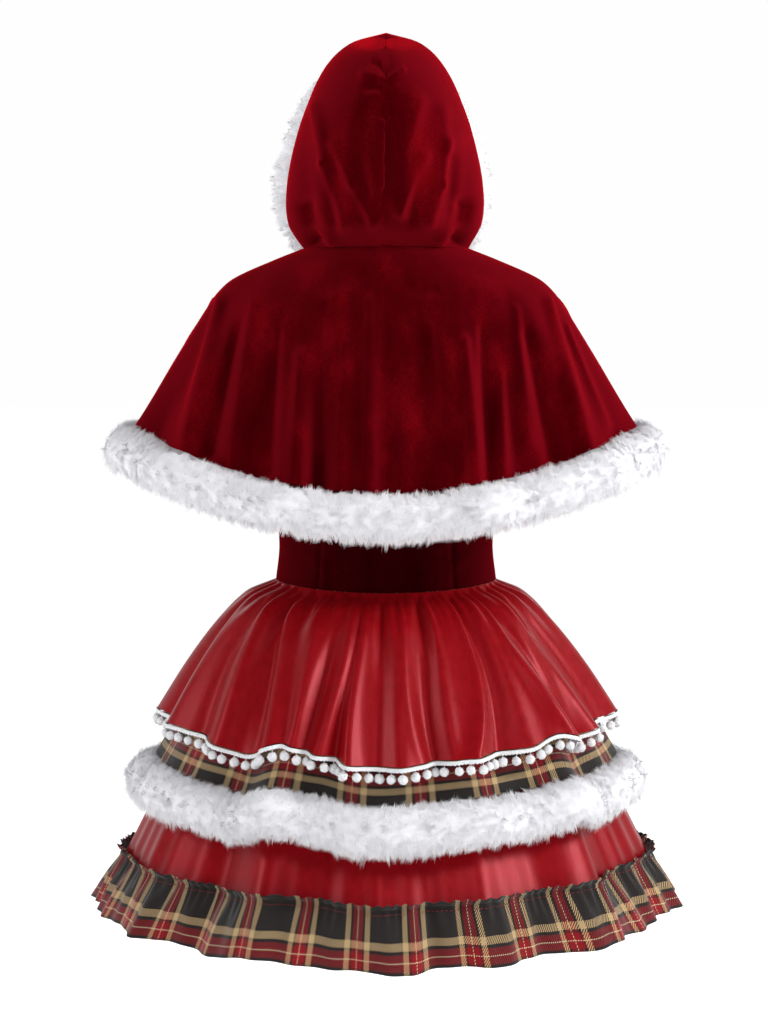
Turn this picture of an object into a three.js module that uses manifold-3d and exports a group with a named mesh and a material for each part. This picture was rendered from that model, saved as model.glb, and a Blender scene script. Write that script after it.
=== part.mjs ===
// A hooded shoulder cape and a sleeveless dress with a three-tier skirt, in the hollow form
// they take when worn. Millimetres, +Z up. The origin is the middle of the neck seam, level
// with the top of the wearer's shoulders. The front faces -Y, and +X is the wearer's left.
// Angles round the body are in degrees, from 0 at the centre back to 90 at the left side
// and 180 at the centre front.

import * as THREE from 'three';
import Module from 'manifold-3d';
import { mergeVertices } from 'three/addons/utils/BufferGeometryUtils.js';

const SEAM = 0.3;

const VELVET_WALL = 1.8;
const SATIN_WALL = 1.2;
const TARTAN_WALL = 1.4;

// Neck, cape and hood

const CAPE_COLUMNS = 48;
const CAPE_ROWS_PER_STEP = 1;
const CAPE_FRONT_GAP_AT_NECK = 5;
const CAPE_FRONT_GAP_AT_HEM = 26;

// Rings of the cape from the neck seam to the hem: half width and its height at the sides,
// and reach and height at the centre back and the centre front.
const CAPE_RINGS = [
  { at: 0.00, side: 96, sideZ: -2, back: 62, backZ: 0, front: 76, frontZ: -26 },
  { at: 0.10, side: 129, sideZ: -15, back: 76, backZ: -20, front: 92, frontZ: -48 },
  { at: 0.24, side: 176, sideZ: -36, back: 97, backZ: -60, front: 112, frontZ: -84 },
  { at: 0.32, side: 195, sideZ: -52, back: 108, backZ: -83, front: 122, frontZ: -105 },
  { at: 0.40, side: 210, sideZ: -73, back: 118, backZ: -106, front: 132, frontZ: -126 },
  { at: 0.60, side: 244, sideZ: -127, back: 143, backZ: -165, front: 153, frontZ: -180 },
  { at: 0.80, side: 271, sideZ: -172, back: 164, backZ: -221, front: 171, frontZ: -232 },
  { at: 1.00, side: 291, sideZ: -204, back: 181, backZ: -271, front: 186, frontZ: -276 },
];

// Soft folds that run down the cape: where, how far out, and how wide in degrees. They start
// below the neck, grow down the cape and lift its hem a little.
const CAPE_FOLDS_START = 0.12;
const CAPE_FOLD_GROWTH = 1.2;
const CAPE_FOLD_LIFT = 0.25;
const CAPE_FOLDS = [
  { angle: 5, rise: 4, width: 6 },
  { angle: 22, rise: 6, width: 6 },
  { angle: 52, rise: 9, width: 7 },
  { angle: 76, rise: 6, width: 7 },
  { angle: 108, rise: 7, width: 8 },
  { angle: 142, rise: 8, width: 8 },
  { angle: -22, rise: 7, width: 6 },
  { angle: -53, rise: 9, width: 7 },
  { angle: -76, rise: 5, width: 7 },
  { angle: -110, rise: 7, width: 8 },
  { angle: -140, rise: 7, width: 8 },
];

const HOOD_COLUMNS = 10;
const HOOD_ROWS_PER_STEP = 1;
const HOOD_NECK_END = 164;
const HOOD_NECK_GAP = 0.4;

// The hood's face is turned a little to one side, up to where its crown begins.
const HOOD_FRONT_TURN = 5;
const HOOD_TURN_ENDS = 0.85;

// Sections of one hood half from the neck seam up to the crown seam. Each runs from the
// face edge, round the side of the head, to the seam at the back.
const HOOD_SECTIONS = [
  { at: 0.00, faceX: 26, faceY: -73, faceZ: -26, sideX: 96, sideY: 0, sideZ: -1, backY: 62, backZ: 0 },
  { at: 0.14, faceX: 80, faceY: -90, faceZ: 4, sideX: 111, sideY: 6, sideZ: 24, backY: 92, backZ: 26 },
  { at: 0.30, faceX: 105, faceY: -97, faceZ: 52, sideX: 114, sideY: 8, sideZ: 58, backY: 113, backZ: 66 },
  { at: 0.50, faceX: 99, faceY: -100, faceZ: 106, sideX: 107, sideY: 4, sideZ: 106, backY: 124, backZ: 116 },
  { at: 0.70, faceX: 78, faceY: -102, faceZ: 155, sideX: 92, sideY: 0, sideZ: 156, backY: 119, backZ: 164 },
  { at: 0.85, faceX: 53, faceY: -102, faceZ: 188, sideX: 69, sideY: -6, sideZ: 206, backY: 102, backZ: 198 },
  { at: 0.94, faceX: 30, faceY: -101, faceZ: 204, sideX: 40, sideY: -10, sideZ: 234, backY: 86, backZ: 215 },
  { at: 1.00, faceX: 0, faceY: -100, faceZ: 211, sideX: 0, sideY: -12, sideZ: 246, backY: 72, backZ: 224 },
];

// Fur bands: half of the height and half of the thickness of the roll.
const HOOD_FUR = { half: 21, thick: 24, sides: 8, steps: 28, startsAt: 0.08, gap: 0.5 };
const CAPE_FUR = { half: 27, thick: 20, sides: 8 };
const MIDDLE_FUR = { half: 28, thick: 20, sides: 6 };

// Bodice

// Panels meet at the princess seams and the side seams, each half a seam short, in degrees.
const PRINCESS_SEAM = 37;
const PANEL_GAP = 0.08;
const PANEL_COLUMN_ANGLE = 53 / 6;
const PANEL_LEAST_COLUMNS = 4;
const BODICE_RINGS = [
  { at: 0.00, z: -160, side: 146, back: 112, front: 122 },
  { at: 0.35, z: -235, side: 141, back: 108, front: 124 },
  { at: 0.65, z: -300, side: 130, back: 99, front: 107 },
  { at: 0.84, z: -348, side: 125, back: 95, front: 97 },
  { at: 1.00, z: -389, side: 129, back: 98, front: 98 },
];

// Shoulder straps: how far out they cross the shoulder, the angle of their feet on the
// bodice's top edge, how they droop to it, and the steps of their path from back to front.
const STRAP = { width: 24, wall: 1.8, topX: 112.5, footAngle: 36, droop: 1.6 };
const STRAP_STEPS = [-1, -0.8, -0.55, -0.3, -0.12, 0, 0.12, 0.3, 0.55, 0.8, 1];

// Skirt

const WAIST_Z = -389.5;
const WAIST_DIP = 2.5;
const SKIRT_DEPTH = 380;

// The folds that run down through every tier: place, drift from waist to hem in degrees,
// how far out or in at the full depth, width in degrees, and how far it lifts the hems.
// In each tier they start within its first fifth.
const SKIRT_FOLD_GROWTH = 0.9;
const FOLDS_START = 0.2;
const SKIRT_FOLDS = [
  { angle: 30, drift: -4, rise: 20, width: 6, lift: 14 },
  { angle: 42, drift: -4, rise: -17, width: 6, lift: 0 },
  { angle: 18, drift: -2, rise: -7, width: 6, lift: 8 },
  { angle: 2, drift: 0, rise: 13, width: 9, lift: -3 },
  { angle: -22, drift: 1, rise: 8, width: 7, lift: 3 },
  { angle: -36, drift: 3, rise: -7, width: 6, lift: 2 },
  { angle: -50, drift: 4, rise: 20, width: 6, lift: 9 },
  { angle: -62, drift: 4, rise: -16, width: 6, lift: -2 },
  { angle: 64, drift: 0, rise: 8, width: 8, lift: 4 },
  { angle: 86, drift: 0, rise: 6, width: 7, lift: 3 },
  { angle: -84, drift: 0, rise: 8, width: 8, lift: 4 },
  { angle: 108, drift: 0, rise: -14, width: 9, lift: -2 },
  { angle: 130, drift: 2, rise: 13, width: 7, lift: 6 },
  { angle: 151, drift: 2, rise: -8, width: 7, lift: 0 },
  { angle: 174, drift: 0, rise: 12, width: 9, lift: 4 },
  { angle: -154, drift: 0, rise: -7, width: 7, lift: 0 },
  { angle: -132, drift: -2, rise: 12, width: 7, lift: 6 },
  { angle: -108, drift: -2, rise: -14, width: 9, lift: -2 },
];

// Gathers are full at a tenth of a tier's depth and fade out below. The waves' width drifts
// round the body.
const GATHERS_FULL = 0.1;
const GATHERS_FADE = 1.5;
const WAVE_DRIFT = 1.2;

const TOP_TIER = {
  columns: 126, wall: SATIN_WALL,
  gathers: 42, gatherRise: 6, waves: 21, waveRise: 7, liftShare: 1,
  hemZ: -540, hemDrop: 20,
  rings: [
    { at: 0.00, side: 129, back: 98, front: 98 },
    { at: 0.10, side: 158, back: 132, front: 130 },
    { at: 0.30, side: 187, back: 166, front: 163 },
    { at: 0.62, side: 222, back: 206, front: 203 },
    { at: 1.00, side: 257, back: 248, front: 245 },
  ],
};

const MIDDLE_TIER = {
  columns: 90, wall: TARTAN_WALL,
  gathers: 0, gatherRise: 0, waves: 0, waveRise: 0, liftShare: 0.8,
  hemZ: -592, hemDrop: 13,
  rings: [
    { at: 0.00, side: 127.2, back: 96.2, front: 96.2 },
    { at: 0.45, side: 202, back: 178, front: 175 },
    { at: 1.00, side: 267, back: 247, front: 244 },
  ],
};

const BOTTOM_TIER = {
  columns: 90, wall: SATIN_WALL,
  gathers: 0, gatherRise: 0, waves: 18, waveRise: 3, liftShare: 0.3,
  hemZ: -709, hemDrop: 9,
  rings: [
    { at: 0.00, side: 125.2, back: 94.2, front: 94.2 },
    { at: 0.40, side: 211, back: 186, front: 183 },
    { at: 0.75, side: 262, back: 228, front: 225 },
    { at: 1.00, side: 300, back: 272, front: 269 },
  ],
};

// Hem ruffle: rows from its heading down to its hem, as the height over the sewn line,
// how far it stands out there, how deep its gathers are and how deep its slow waves are.
const RUFFLE_COLUMNS = 180;
const RUFFLE_GATHERS = 60;
const RUFFLE_WAVES = 19;
const RUFFLE_LAP = 0.4;
const RUFFLE_CLEARANCE = 2;
const RUFFLE_ROWS = [
  { at: 0.00, over: 11, out: 3, gather: 3.5, wave: 0 },
  { at: 0.33, over: 0, out: 0, gather: 0, wave: 0 },
  { at: 0.66, over: -25, out: 14, gather: 3.5, wave: 4 },
  { at: 1.00, over: -55, out: 31, gather: 2, wave: 9 },
];

const BRAID_HEIGHT = 5;
const BRAID_WALL = 2;

// Pom-poms: how many all round, their radius and sides, the radius of the neck that each
// hangs by, and how far under the braid the neck widens and the ball begins.
const POMPOMS = { count: 80, radius: 5.8, sides: 4, neck: 1.1, neckDrop: 2, drop: 3 };

const VELVET = { color: 0x7a0a14, roughness: 0.75, metalness: 0 };
const SATIN = { color: 0xa51926, roughness: 0.35, metalness: 0 };
const TARTAN = { color: 0x4a322c, roughness: 0.8, metalness: 0 };
const WHITE_FUR = { color: 0xeeeef0, roughness: 0.95, metalness: 0 };
const WHITE_BRAID = { color: 0xf2f2f2, roughness: 0.85, metalness: 0 };

const radians = (degrees) => degrees * Math.PI / 180;

// A smooth curve through one column of a table, over the table's "at" column.
function tableCurve(rows, column) {
  const slope = (i) => {
    const before = rows[Math.max(i - 1, 0)];
    const after = rows[Math.min(i + 1, rows.length - 1)];
    return (after[column] - before[column]) / (after.at - before.at);
  };
  return (at) => {
    let i = 0;
    while (i < rows.length - 2 && at > rows[i + 1].at) i += 1;
    const span = rows[i + 1].at - rows[i].at;
    const t = (at - rows[i].at) / span;
    const t2 = t * t;
    const t3 = t2 * t;
    return (2 * t3 - 3 * t2 + 1) * rows[i][column]
      + (t3 - 2 * t2 + t) * span * slope(i)
      + (3 * t2 - 2 * t3) * rows[i + 1][column]
      + (t3 - t2) * span * slope(i + 1);
  };
}

function tableCurves(rows) {
  const curves = {};
  for (const column of Object.keys(rows[0])) {
    if (column !== 'at') curves[column] = tableCurve(rows, column);
  }
  return curves;
}

// Parameter values that hit every table row, with the same number of steps between rows.
function rowSteps(rows, perStep) {
  const steps = [];
  for (let i = 0; i < rows.length - 1; i += 1) {
    for (let k = 0; k < perStep; k += 1) {
      steps.push(rows[i].at + (rows[i + 1].at - rows[i].at) * k / perStep);
    }
  }
  steps.push(rows[rows.length - 1].at);
  return steps;
}

function evenSteps(from, to, count) {
  return Array.from({ length: count + 1 }, (_, i) => from + (to - from) * i / count);
}

// Signed difference of two angles, between -180 and 180 degrees.
function angleBetween(a, b) {
  return ((a - b + 540) % 360 + 360) % 360 - 180;
}

function bump(angle, centre, width) {
  return Math.exp(-((angleBetween(angle, centre) / width) ** 2));
}

function makeMesh(name, geometry, finish) {
  const mesh = new THREE.Mesh(geometry, new THREE.MeshStandardMaterial(finish));
  mesh.name = name;
  return mesh;
}

// Turns a closed mesh's faces round where they point inwards.
function facingOut(geometry) {
  const position = geometry.getAttribute('position');
  const corners = geometry.getIndex().array;
  const [a, b, c] = [new THREE.Vector3(), new THREE.Vector3(), new THREE.Vector3()];
  let volume = 0;
  for (let t = 0; t < corners.length; t += 3) {
    a.fromBufferAttribute(position, corners[t]);
    b.fromBufferAttribute(position, corners[t + 1]);
    c.fromBufferAttribute(position, corners[t + 2]);
    volume += a.dot(b.cross(c));
  }
  if (volume < 0) {
    for (let t = 0; t < corners.length; t += 3) {
      [corners[t + 1], corners[t + 2]] = [corners[t + 2], corners[t + 1]];
    }
    geometry.computeVertexNormals();
  }
  return geometry;
}

function geometryFrom(points, triangles) {
  const geometry = new THREE.BufferGeometry();
  const positions = points.flatMap((p) => [p.x, p.y, p.z]);
  geometry.setAttribute('position', new THREE.Float32BufferAttribute(positions, 3));
  geometry.setIndex(triangles.flat());
  geometry.computeVertexNormals();
  return facingOut(geometry);
}

// The direction out of a surface whose u runs round the body and v runs down it.
function outward(surface, u, v) {
  const stepU = 0.05;
  const stepV = 0.002;
  const lowV = Math.max(v - stepV, 0);
  const highV = Math.min(v + stepV, 1);
  const along = surface(u + stepU, v).sub(surface(u - stepU, v));
  const down = surface(u, highV).sub(surface(u, lowV));
  return along.cross(down).normalize();
}

// A cloth wall: outer points on the surface and inner points one wall behind them, closed
// by rims, or closed on itself where it goes all round.
function clothWall(surface, us, vs, wall, { ring = false, normalAt = outward } = {}) {
  const columns = ring ? us.length - 1 : us.length;
  const points = [];
  const index = (layer, j, i) => (layer * vs.length + j) * columns + (ring ? i % columns : i);
  for (const depth of [0, wall]) {
    for (const v of vs) {
      for (const u of us.slice(0, columns)) {
        const normal = normalAt(surface, u, v);
        points.push(surface(u, v).addScaledVector(normal, -depth));
      }
    }
  }
  const triangles = [];
  const quad = (a, b, c, d) => triangles.push([a, b, c], [a, c, d]);
  const spans = us.length - 1;
  const last = vs.length - 1;
  for (let i = 0; i < spans; i += 1) {
    for (let j = 0; j < last; j += 1) {
      quad(index(0, j, i), index(0, j, i + 1), index(0, j + 1, i + 1), index(0, j + 1, i));
      quad(index(1, j, i), index(1, j + 1, i), index(1, j + 1, i + 1), index(1, j, i + 1));
    }
    quad(index(0, 0, i), index(1, 0, i), index(1, 0, i + 1), index(0, 0, i + 1));
    quad(index(0, last, i), index(0, last, i + 1), index(1, last, i + 1), index(1, last, i));
  }
  if (!ring) {
    for (let j = 0; j < last; j += 1) {
      quad(index(0, j, 0), index(0, j + 1, 0), index(1, j + 1, 0), index(1, j, 0));
      quad(index(0, j, spans), index(1, j, spans), index(1, j + 1, spans), index(0, j + 1, spans));
    }
  }
  return geometryFrom(points, triangles);
}

// A roll of fur along a path of frames, each with its centre and its two half axes.
function furRoll(frames, sides, ring) {
  const points = [];
  for (const { centre, across, along } of frames) {
    for (let k = 0; k < sides; k += 1) {
      const turn = 2 * Math.PI * k / sides;
      const point = centre.clone();
      point.addScaledVector(along, Math.cos(turn));
      point.addScaledVector(across, Math.sin(turn));
      points.push(point);
    }
  }
  const triangles = [];
  const count = frames.length;
  const at = (i, k) => (i % count) * sides + (k % sides);
  for (let i = 0; i < (ring ? count : count - 1); i += 1) {
    for (let k = 0; k < sides; k += 1) {
      triangles.push([at(i, k), at(i + 1, k), at(i + 1, k + 1)], [at(i, k), at(i + 1, k + 1), at(i, k + 1)]);
    }
  }
  if (!ring) {
    for (let k = 1; k < sides - 1; k += 1) {
      triangles.push([at(0, 0), at(0, k), at(0, k + 1)]);
      triangles.push([at(count - 1, 0), at(count - 1, k + 1), at(count - 1, k)]);
    }
  }
  return geometryFrom(points, triangles);
}

// Cape

const cape = tableCurves(CAPE_RINGS);

function capePoint(angle, at) {
  const turn = radians(angle);
  const share = Math.sin(turn) ** 2;
  const isBack = Math.cos(turn) > 0;
  let rise = 0;
  for (const fold of CAPE_FOLDS) {
    rise += fold.rise * bump(angle, fold.angle, fold.width);
  }
  rise *= Math.max(at - CAPE_FOLDS_START, 0) ** CAPE_FOLD_GROWTH;
  const reach = isBack ? cape.back(at) : cape.front(at);
  const low = isBack ? cape.backZ(at) : cape.frontZ(at);
  const middleZ = share * cape.sideZ(at) + (1 - share) * low;
  return new THREE.Vector3(
    (cape.side(at) + rise) * Math.sin(turn),
    (reach + rise) * Math.cos(turn),
    middleZ + CAPE_FOLD_LIFT * rise,
  );
}

// The front edge's angle at one height, so that the fronts part a little towards the hem.
function capeFrontAngle(at) {
  const gap = THREE.MathUtils.lerp(CAPE_FRONT_GAP_AT_NECK, CAPE_FRONT_GAP_AT_HEM, at) / 2;
  return 180 - THREE.MathUtils.radToDeg(Math.asin(gap / cape.side(at)));
}

const capeRows = rowSteps(CAPE_RINGS, CAPE_ROWS_PER_STEP);
const SIDE_SEAM = 0.06;

function capeBack() {
  const us = evenSteps(-90, 90, CAPE_COLUMNS / 2);
  us[0] += SIDE_SEAM;
  us[us.length - 1] -= SIDE_SEAM;
  return clothWall(capePoint, us, capeRows, VELVET_WALL);
}

// A front is laid out by the share of the way from the side seam to its front edge.
function capeFront(side) {
  const angleAt = (share, at) => side * THREE.MathUtils.lerp(90 + SIDE_SEAM, capeFrontAngle(at), share);
  const surface = (share, at) => capePoint(angleAt(share, at), at);
  const normalAt = (_, share, at) => outward(capePoint, angleAt(share, at), at);
  return clothWall(surface, evenSteps(0, 1, CAPE_COLUMNS / 4), capeRows, VELVET_WALL, { normalAt });
}

const BAND_GAP = 0.7;

// One frame of a fur band: it starts a seam below the cloth's edge and follows its slope.
function bandFrame(surface, u, wall, size, hemAt = 1) {
  const out = outward(surface, u, hemAt);
  const down = surface(u, hemAt).sub(surface(u, hemAt - 0.05));
  down.addScaledVector(out, -down.dot(out)).normalize();
  const centre = surface(u, hemAt).addScaledVector(out, -wall / 2);
  centre.addScaledVector(down, size.half + BAND_GAP);
  return {
    centre,
    along: down.clone().multiplyScalar(size.half),
    across: out.clone().multiplyScalar(size.thick),
  };
}

function capeFur() {
  const edge = capeFrontAngle(1);
  const backSteps = evenSteps(-90, 90, CAPE_COLUMNS / 2);
  const frontSteps = evenSteps(90, edge, CAPE_COLUMNS / 4).slice(1);
  const angles = [...frontSteps.map((angle) => -angle).reverse(), ...backSteps, ...frontSteps];
  const frames = angles.map((angle) => bandFrame(capePoint, angle, VELVET_WALL, CAPE_FUR));
  return furRoll(frames, CAPE_FUR.sides, false);
}

// Hood

const hood = tableCurves(HOOD_SECTIONS);

// A point of the left half: u runs from the back seam (0) to the face edge (1), v up from
// the neck seam. The lowest section is the cape's neck ring.
function hoodPoint(u, v) {
  const face = new THREE.Vector3(hood.faceX(v), hood.faceY(v), hood.faceZ(v));
  const side = new THREE.Vector3(hood.sideX(v), hood.sideY(v), hood.sideZ(v));
  const back = new THREE.Vector3(0, hood.backY(v), hood.backZ(v));
  const point = new THREE.Vector3();
  if (u < 0.5) {
    const turn = Math.PI * u;
    point.x = side.x * Math.sin(turn);
    point.y = side.y + (back.y - side.y) * Math.cos(turn);
    point.z = side.z + (back.z - side.z) * Math.cos(turn);
  } else {
    const t = (u - 0.5) * 2;
    point.x = side.x + (face.x - side.x) * t * t;
    point.y = side.y + (face.y - side.y) * t;
    point.z = side.z + (face.z - side.z) * t * t * (3 - 2 * t);
  }
  return point;
}

function hoodSurface(side) {
  return (u, v) => {
    const point = hoodPoint(u, v);
    const neckAngle = HOOD_NECK_END * u;
    const neck = capePoint(neckAngle, 0);
    neck.z += HOOD_NECK_GAP;
    const share = THREE.MathUtils.smoothstep(v, 0, HOOD_SECTIONS[1].at);
    const turned = 1 - Math.max(v - HOOD_TURN_ENDS, 0) / (1 - HOOD_TURN_ENDS);
    point.lerpVectors(neck, point, share);
    point.x += SEAM / 2;
    point.x = side * point.x + HOOD_FRONT_TURN * share * u * u * turned;
    return point;
  };
}

// At the seam along the middle the wall keeps to its own side of the seam.
function hoodHalf(side) {
  const surface = hoodSurface(side);
  const normalAt = (_, u, v) => {
    const lowU = Math.max(u - 0.01, 0);
    const highU = Math.min(u + 0.01, 1);
    const lowV = Math.max(v - 0.01, 0);
    const highV = Math.min(v + 0.01, 1);
    const along = surface(highU, v).sub(surface(lowU, v));
    const up = surface(u, highV).sub(surface(u, lowV));
    const normal = along.cross(up).multiplyScalar(-side);
    if (u < 0.001 || v > 0.999) normal.x = 0;
    return normal.normalize();
  };
  const us = evenSteps(0, 1, HOOD_COLUMNS);
  const vs = rowSteps(HOOD_SECTIONS, HOOD_ROWS_PER_STEP);
  return clothWall(surface, us, vs, VELVET_WALL, { normalAt });
}

// The roll round the face opening lies in front of the hood's edge. It runs up one half
// and down the other.
function hoodFur() {
  const forward = new THREE.Vector3(0, -1, 0);
  const edgeAt = (t) => {
    const side = t < 0 ? -1 : 1;
    const height = 1 - Math.abs(t) * (1 - HOOD_FUR.startsAt);
    return hoodSurface(side)(1, height);
  };
  const frames = evenSteps(-1, 1, HOOD_FUR.steps).map((t) => {
    const path = edgeAt(Math.min(t + 0.03, 1)).sub(edgeAt(Math.max(t - 0.03, -1))).normalize();
    const across = path.cross(forward).normalize().multiplyScalar(HOOD_FUR.thick);
    const centre = edgeAt(t).addScaledVector(forward, HOOD_FUR.half + HOOD_FUR.gap);
    return { centre, across, along: forward.clone().multiplyScalar(HOOD_FUR.half) };
  });
  return furRoll(frames, HOOD_FUR.sides, false);
}

// Bodice

const bodice = tableCurves(BODICE_RINGS);

function waistDip(angle) {
  return -WAIST_DIP * Math.cos(2 * radians(angle));
}

function bodicePoint(angle, at) {
  const turn = radians(angle);
  const reach = Math.cos(turn) > 0 ? bodice.back(at) : bodice.front(at);
  return new THREE.Vector3(
    bodice.side(at) * Math.sin(turn),
    reach * Math.cos(turn),
    bodice.z(at) + waistDip(angle) * at,
  );
}

function bodicePanel(from, to) {
  const columns = Math.max(PANEL_LEAST_COLUMNS, Math.round((to - from) / PANEL_COLUMN_ANGLE));
  const us = evenSteps(from + PANEL_GAP, to - PANEL_GAP, columns);
  return clothWall(bodicePoint, us, rowSteps(BODICE_RINGS, 1), VELVET_WALL);
}

// Shoulder strap: a ribbon from the bodice's top edge at the back, over the shoulder just
// under the cape, to the top edge at the front. u runs across it, and t from -1 to 1 along it.
function strap(side) {
  const [inner, outer] = CAPE_RINGS.slice(0, 2).map(({ at }) => (
    capePoint(90, at).addScaledVector(outward(capePoint, 90, at), -VELVET_WALL)
  ));
  const slope = outer.clone().sub(inner);
  const under = new THREE.Vector3(slope.z, 0, -slope.x).normalize().multiplyScalar(SEAM);
  const surface = (u, t) => {
    const aside = (u - 0.5) * STRAP.width;
    const top = inner.clone().addScaledVector(slope, (STRAP.topX + aside - inner.x) / slope.x).add(under);
    const footAngle = STRAP.footAngle + THREE.MathUtils.radToDeg(aside / BODICE_RINGS[0].back);
    const foot = bodicePoint(t < 0 ? footAngle : 180 - footAngle, 0);
    foot.z += SEAM;
    const away = Math.abs(t);
    return new THREE.Vector3(
      side * THREE.MathUtils.lerp(top.x, foot.x, away * away),
      THREE.MathUtils.lerp(top.y, foot.y, Math.sin(away * Math.PI / 2)),
      THREE.MathUtils.lerp(top.z, foot.z, away ** STRAP.droop),
    );
  };
  const normalAt = (_, u, t) => {
    const run = surface(u, Math.min(t + 0.05, 1)).sub(surface(u, Math.max(t - 0.05, -1)));
    const across = surface(1, t).sub(surface(0, t)).multiplyScalar(side);
    const normal = run.cross(across);
    if (Math.abs(t) === 1) normal.z = 0;
    return normal.normalize();
  };
  return clothWall(surface, [0, 1], STRAP_STEPS, STRAP.wall, { normalAt });
}

// Skirt

function skirtFold(angle, z) {
  const share = THREE.MathUtils.clamp((WAIST_Z - z) / SKIRT_DEPTH, 0, 1);
  let rise = 0;
  for (const fold of SKIRT_FOLDS) {
    rise += fold.rise * bump(angle, fold.angle + fold.drift * share, fold.width);
  }
  return rise * share ** SKIRT_FOLD_GROWTH;
}

function hemLift(angle) {
  let lift = 0;
  for (const fold of SKIRT_FOLDS) {
    lift += fold.lift * bump(angle, fold.angle + fold.drift, fold.width);
  }
  return lift;
}

// Gathers stand out just under the waist seam and fade towards the hem, where slower waves
// of uneven width take over.
function tierSurface(tier) {
  const curves = tableCurves(tier.rings);
  return (angle, at) => {
    const turn = radians(angle);
    const top = WAIST_Z - SEAM + waistDip(angle);
    const hem = tier.hemZ - tier.hemDrop * Math.cos(turn) ** 2 + tier.liftShare * hemLift(angle);
    const z = THREE.MathUtils.lerp(top, hem, at);
    const reach = Math.cos(turn) > 0 ? curves.back(at) : curves.front(at);
    const gather = tier.gatherRise * Math.min(at / GATHERS_FULL, 1) * (1 - at) ** GATHERS_FADE;
    const gatherWave = (1 + Math.cos(tier.gathers * turn)) / 2;
    const waveTurn = tier.waves * turn + WAVE_DRIFT * Math.sin(2 * turn);
    const wave = tier.waveRise * at * (1 + Math.cos(waveTurn)) / 2;
    const out = skirtFold(angle, z) * Math.min(at / FOLDS_START, 1) + gather * gatherWave + wave;
    return new THREE.Vector3(
      (curves.side(at) + out) * Math.sin(turn),
      (reach + out) * Math.cos(turn),
      z,
    );
  };
}

function tierHalf(tier, from) {
  const us = evenSteps(from, from + 180, tier.columns / 2);
  us[0] += SIDE_SEAM;
  us[us.length - 1] -= SIDE_SEAM;
  return clothWall(tierSurface(tier), us, tier.rings.map((ring) => ring.at), tier.wall);
}

function middleFur() {
  const surface = tierSurface(MIDDLE_TIER);
  const angles = evenSteps(0, 360, MIDDLE_TIER.columns).slice(0, -1);
  const frames = angles.map((angle) => bandFrame(surface, angle, MIDDLE_TIER.wall, MIDDLE_FUR));
  return furRoll(frames, MIDDLE_FUR.sides, true);
}

// A place on the flat facets of a surface that has this many columns all round.
function facetPoint(surface, columns, angle, at) {
  const step = 360 / columns;
  const first = Math.floor(angle / step + 1e-6) * step;
  const share = (angle - first) / step;
  return surface(first, at).lerp(surface(first + step, at), share);
}

// The ruffle's sewn line lies on the bottom tier's hem, and the rest stands out from it.
function hemRuffle() {
  const rows = tableCurves(RUFFLE_ROWS);
  const tier = tierSurface(BOTTOM_TIER);
  const base = (angle) => facetPoint(tier, BOTTOM_TIER.columns, angle, 1);
  const surface = (angle, at) => {
    const turn = radians(angle);
    const point = base(angle);
    const gather = rows.gather(at) * (1 + Math.cos(RUFFLE_GATHERS * turn)) / 2;
    const wave = rows.wave(at) * (1 + Math.cos(RUFFLE_WAVES * turn + 1)) / 2;
    const out = RUFFLE_CLEARANCE + TARTAN_WALL + rows.out(at) + gather + wave;
    point.x += out * Math.sin(turn);
    point.y += out * Math.cos(turn);
    point.z += RUFFLE_LAP + rows.over(at);
    return point;
  };
  const normalAt = (_, angle) => new THREE.Vector3(Math.sin(radians(angle)), Math.cos(radians(angle)), 0);
  const us = evenSteps(0, 360, RUFFLE_COLUMNS);
  return clothWall(surface, us, rowSteps(RUFFLE_ROWS, 1), TARTAN_WALL, { ring: true, normalAt });
}

// Braid and pom-poms

const wasm = await Module();
wasm.setup();

function solidFrom(geometry) {
  geometry.deleteAttribute('normal');
  geometry.deleteAttribute('uv');
  const merged = facingOut(mergeVertices(geometry));
  return new wasm.Manifold(new wasm.Mesh({
    numProp: 3,
    vertProperties: new Float32Array(merged.getAttribute('position').array),
    triVerts: new Uint32Array(merged.getIndex().array),
  }));
}

function geometryOf(solid) {
  const mesh = solid.getMesh();
  const geometry = new THREE.BufferGeometry();
  geometry.setAttribute('position', new THREE.Float32BufferAttribute(mesh.vertProperties, 3));
  geometry.setIndex(Array.from(mesh.triVerts));
  geometry.computeVertexNormals();
  return geometry;
}

// One pom-pom hangs by a short neck from inside the braid.
function pompom(hem) {
  const bottom = -BRAID_HEIGHT - POMPOMS.drop - 2 * POMPOMS.radius;
  const profile = [
    new THREE.Vector2(0, bottom),
    new THREE.Vector2(POMPOMS.radius, bottom + POMPOMS.radius),
    new THREE.Vector2(POMPOMS.neck, -BRAID_HEIGHT - POMPOMS.neckDrop),
    new THREE.Vector2(POMPOMS.neck, -BRAID_HEIGHT / 2),
    new THREE.Vector2(0, -BRAID_HEIGHT / 2),
  ];
  const geometry = new THREE.LatheGeometry(profile, POMPOMS.sides);
  geometry.rotateX(Math.PI / 2);
  geometry.translate(hem.x, hem.y, hem.z);
  return geometry;
}

function pompomTrim() {
  const surface = tierSurface(TOP_TIER);
  const outAt = (angle) => new THREE.Vector3(Math.sin(radians(angle)), Math.cos(radians(angle)), 0);
  const edge = (angle, out, drop) => {
    const point = facetPoint(surface, TOP_TIER.columns, angle, 1).addScaledVector(outAt(angle), out);
    point.z -= SEAM + SATIN_WALL + drop;
    return point;
  };
  const strip = (angle, at) => edge(angle, BRAID_WALL, at * BRAID_HEIGHT);
  const normalAt = (_, angle) => outAt(angle);
  const us = evenSteps(0, 360, TOP_TIER.columns);
  let trim = solidFrom(clothWall(strip, us, [0, 1], BRAID_WALL, { ring: true, normalAt }));
  for (let i = 0; i < POMPOMS.count; i += 1) {
    const angle = 360 * (i + 0.5) / POMPOMS.count;
    trim = trim.add(solidFrom(pompom(edge(angle, BRAID_WALL / 2, 0))));
  }
  return geometryOf(trim);
}

const garment = new THREE.Group();

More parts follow.
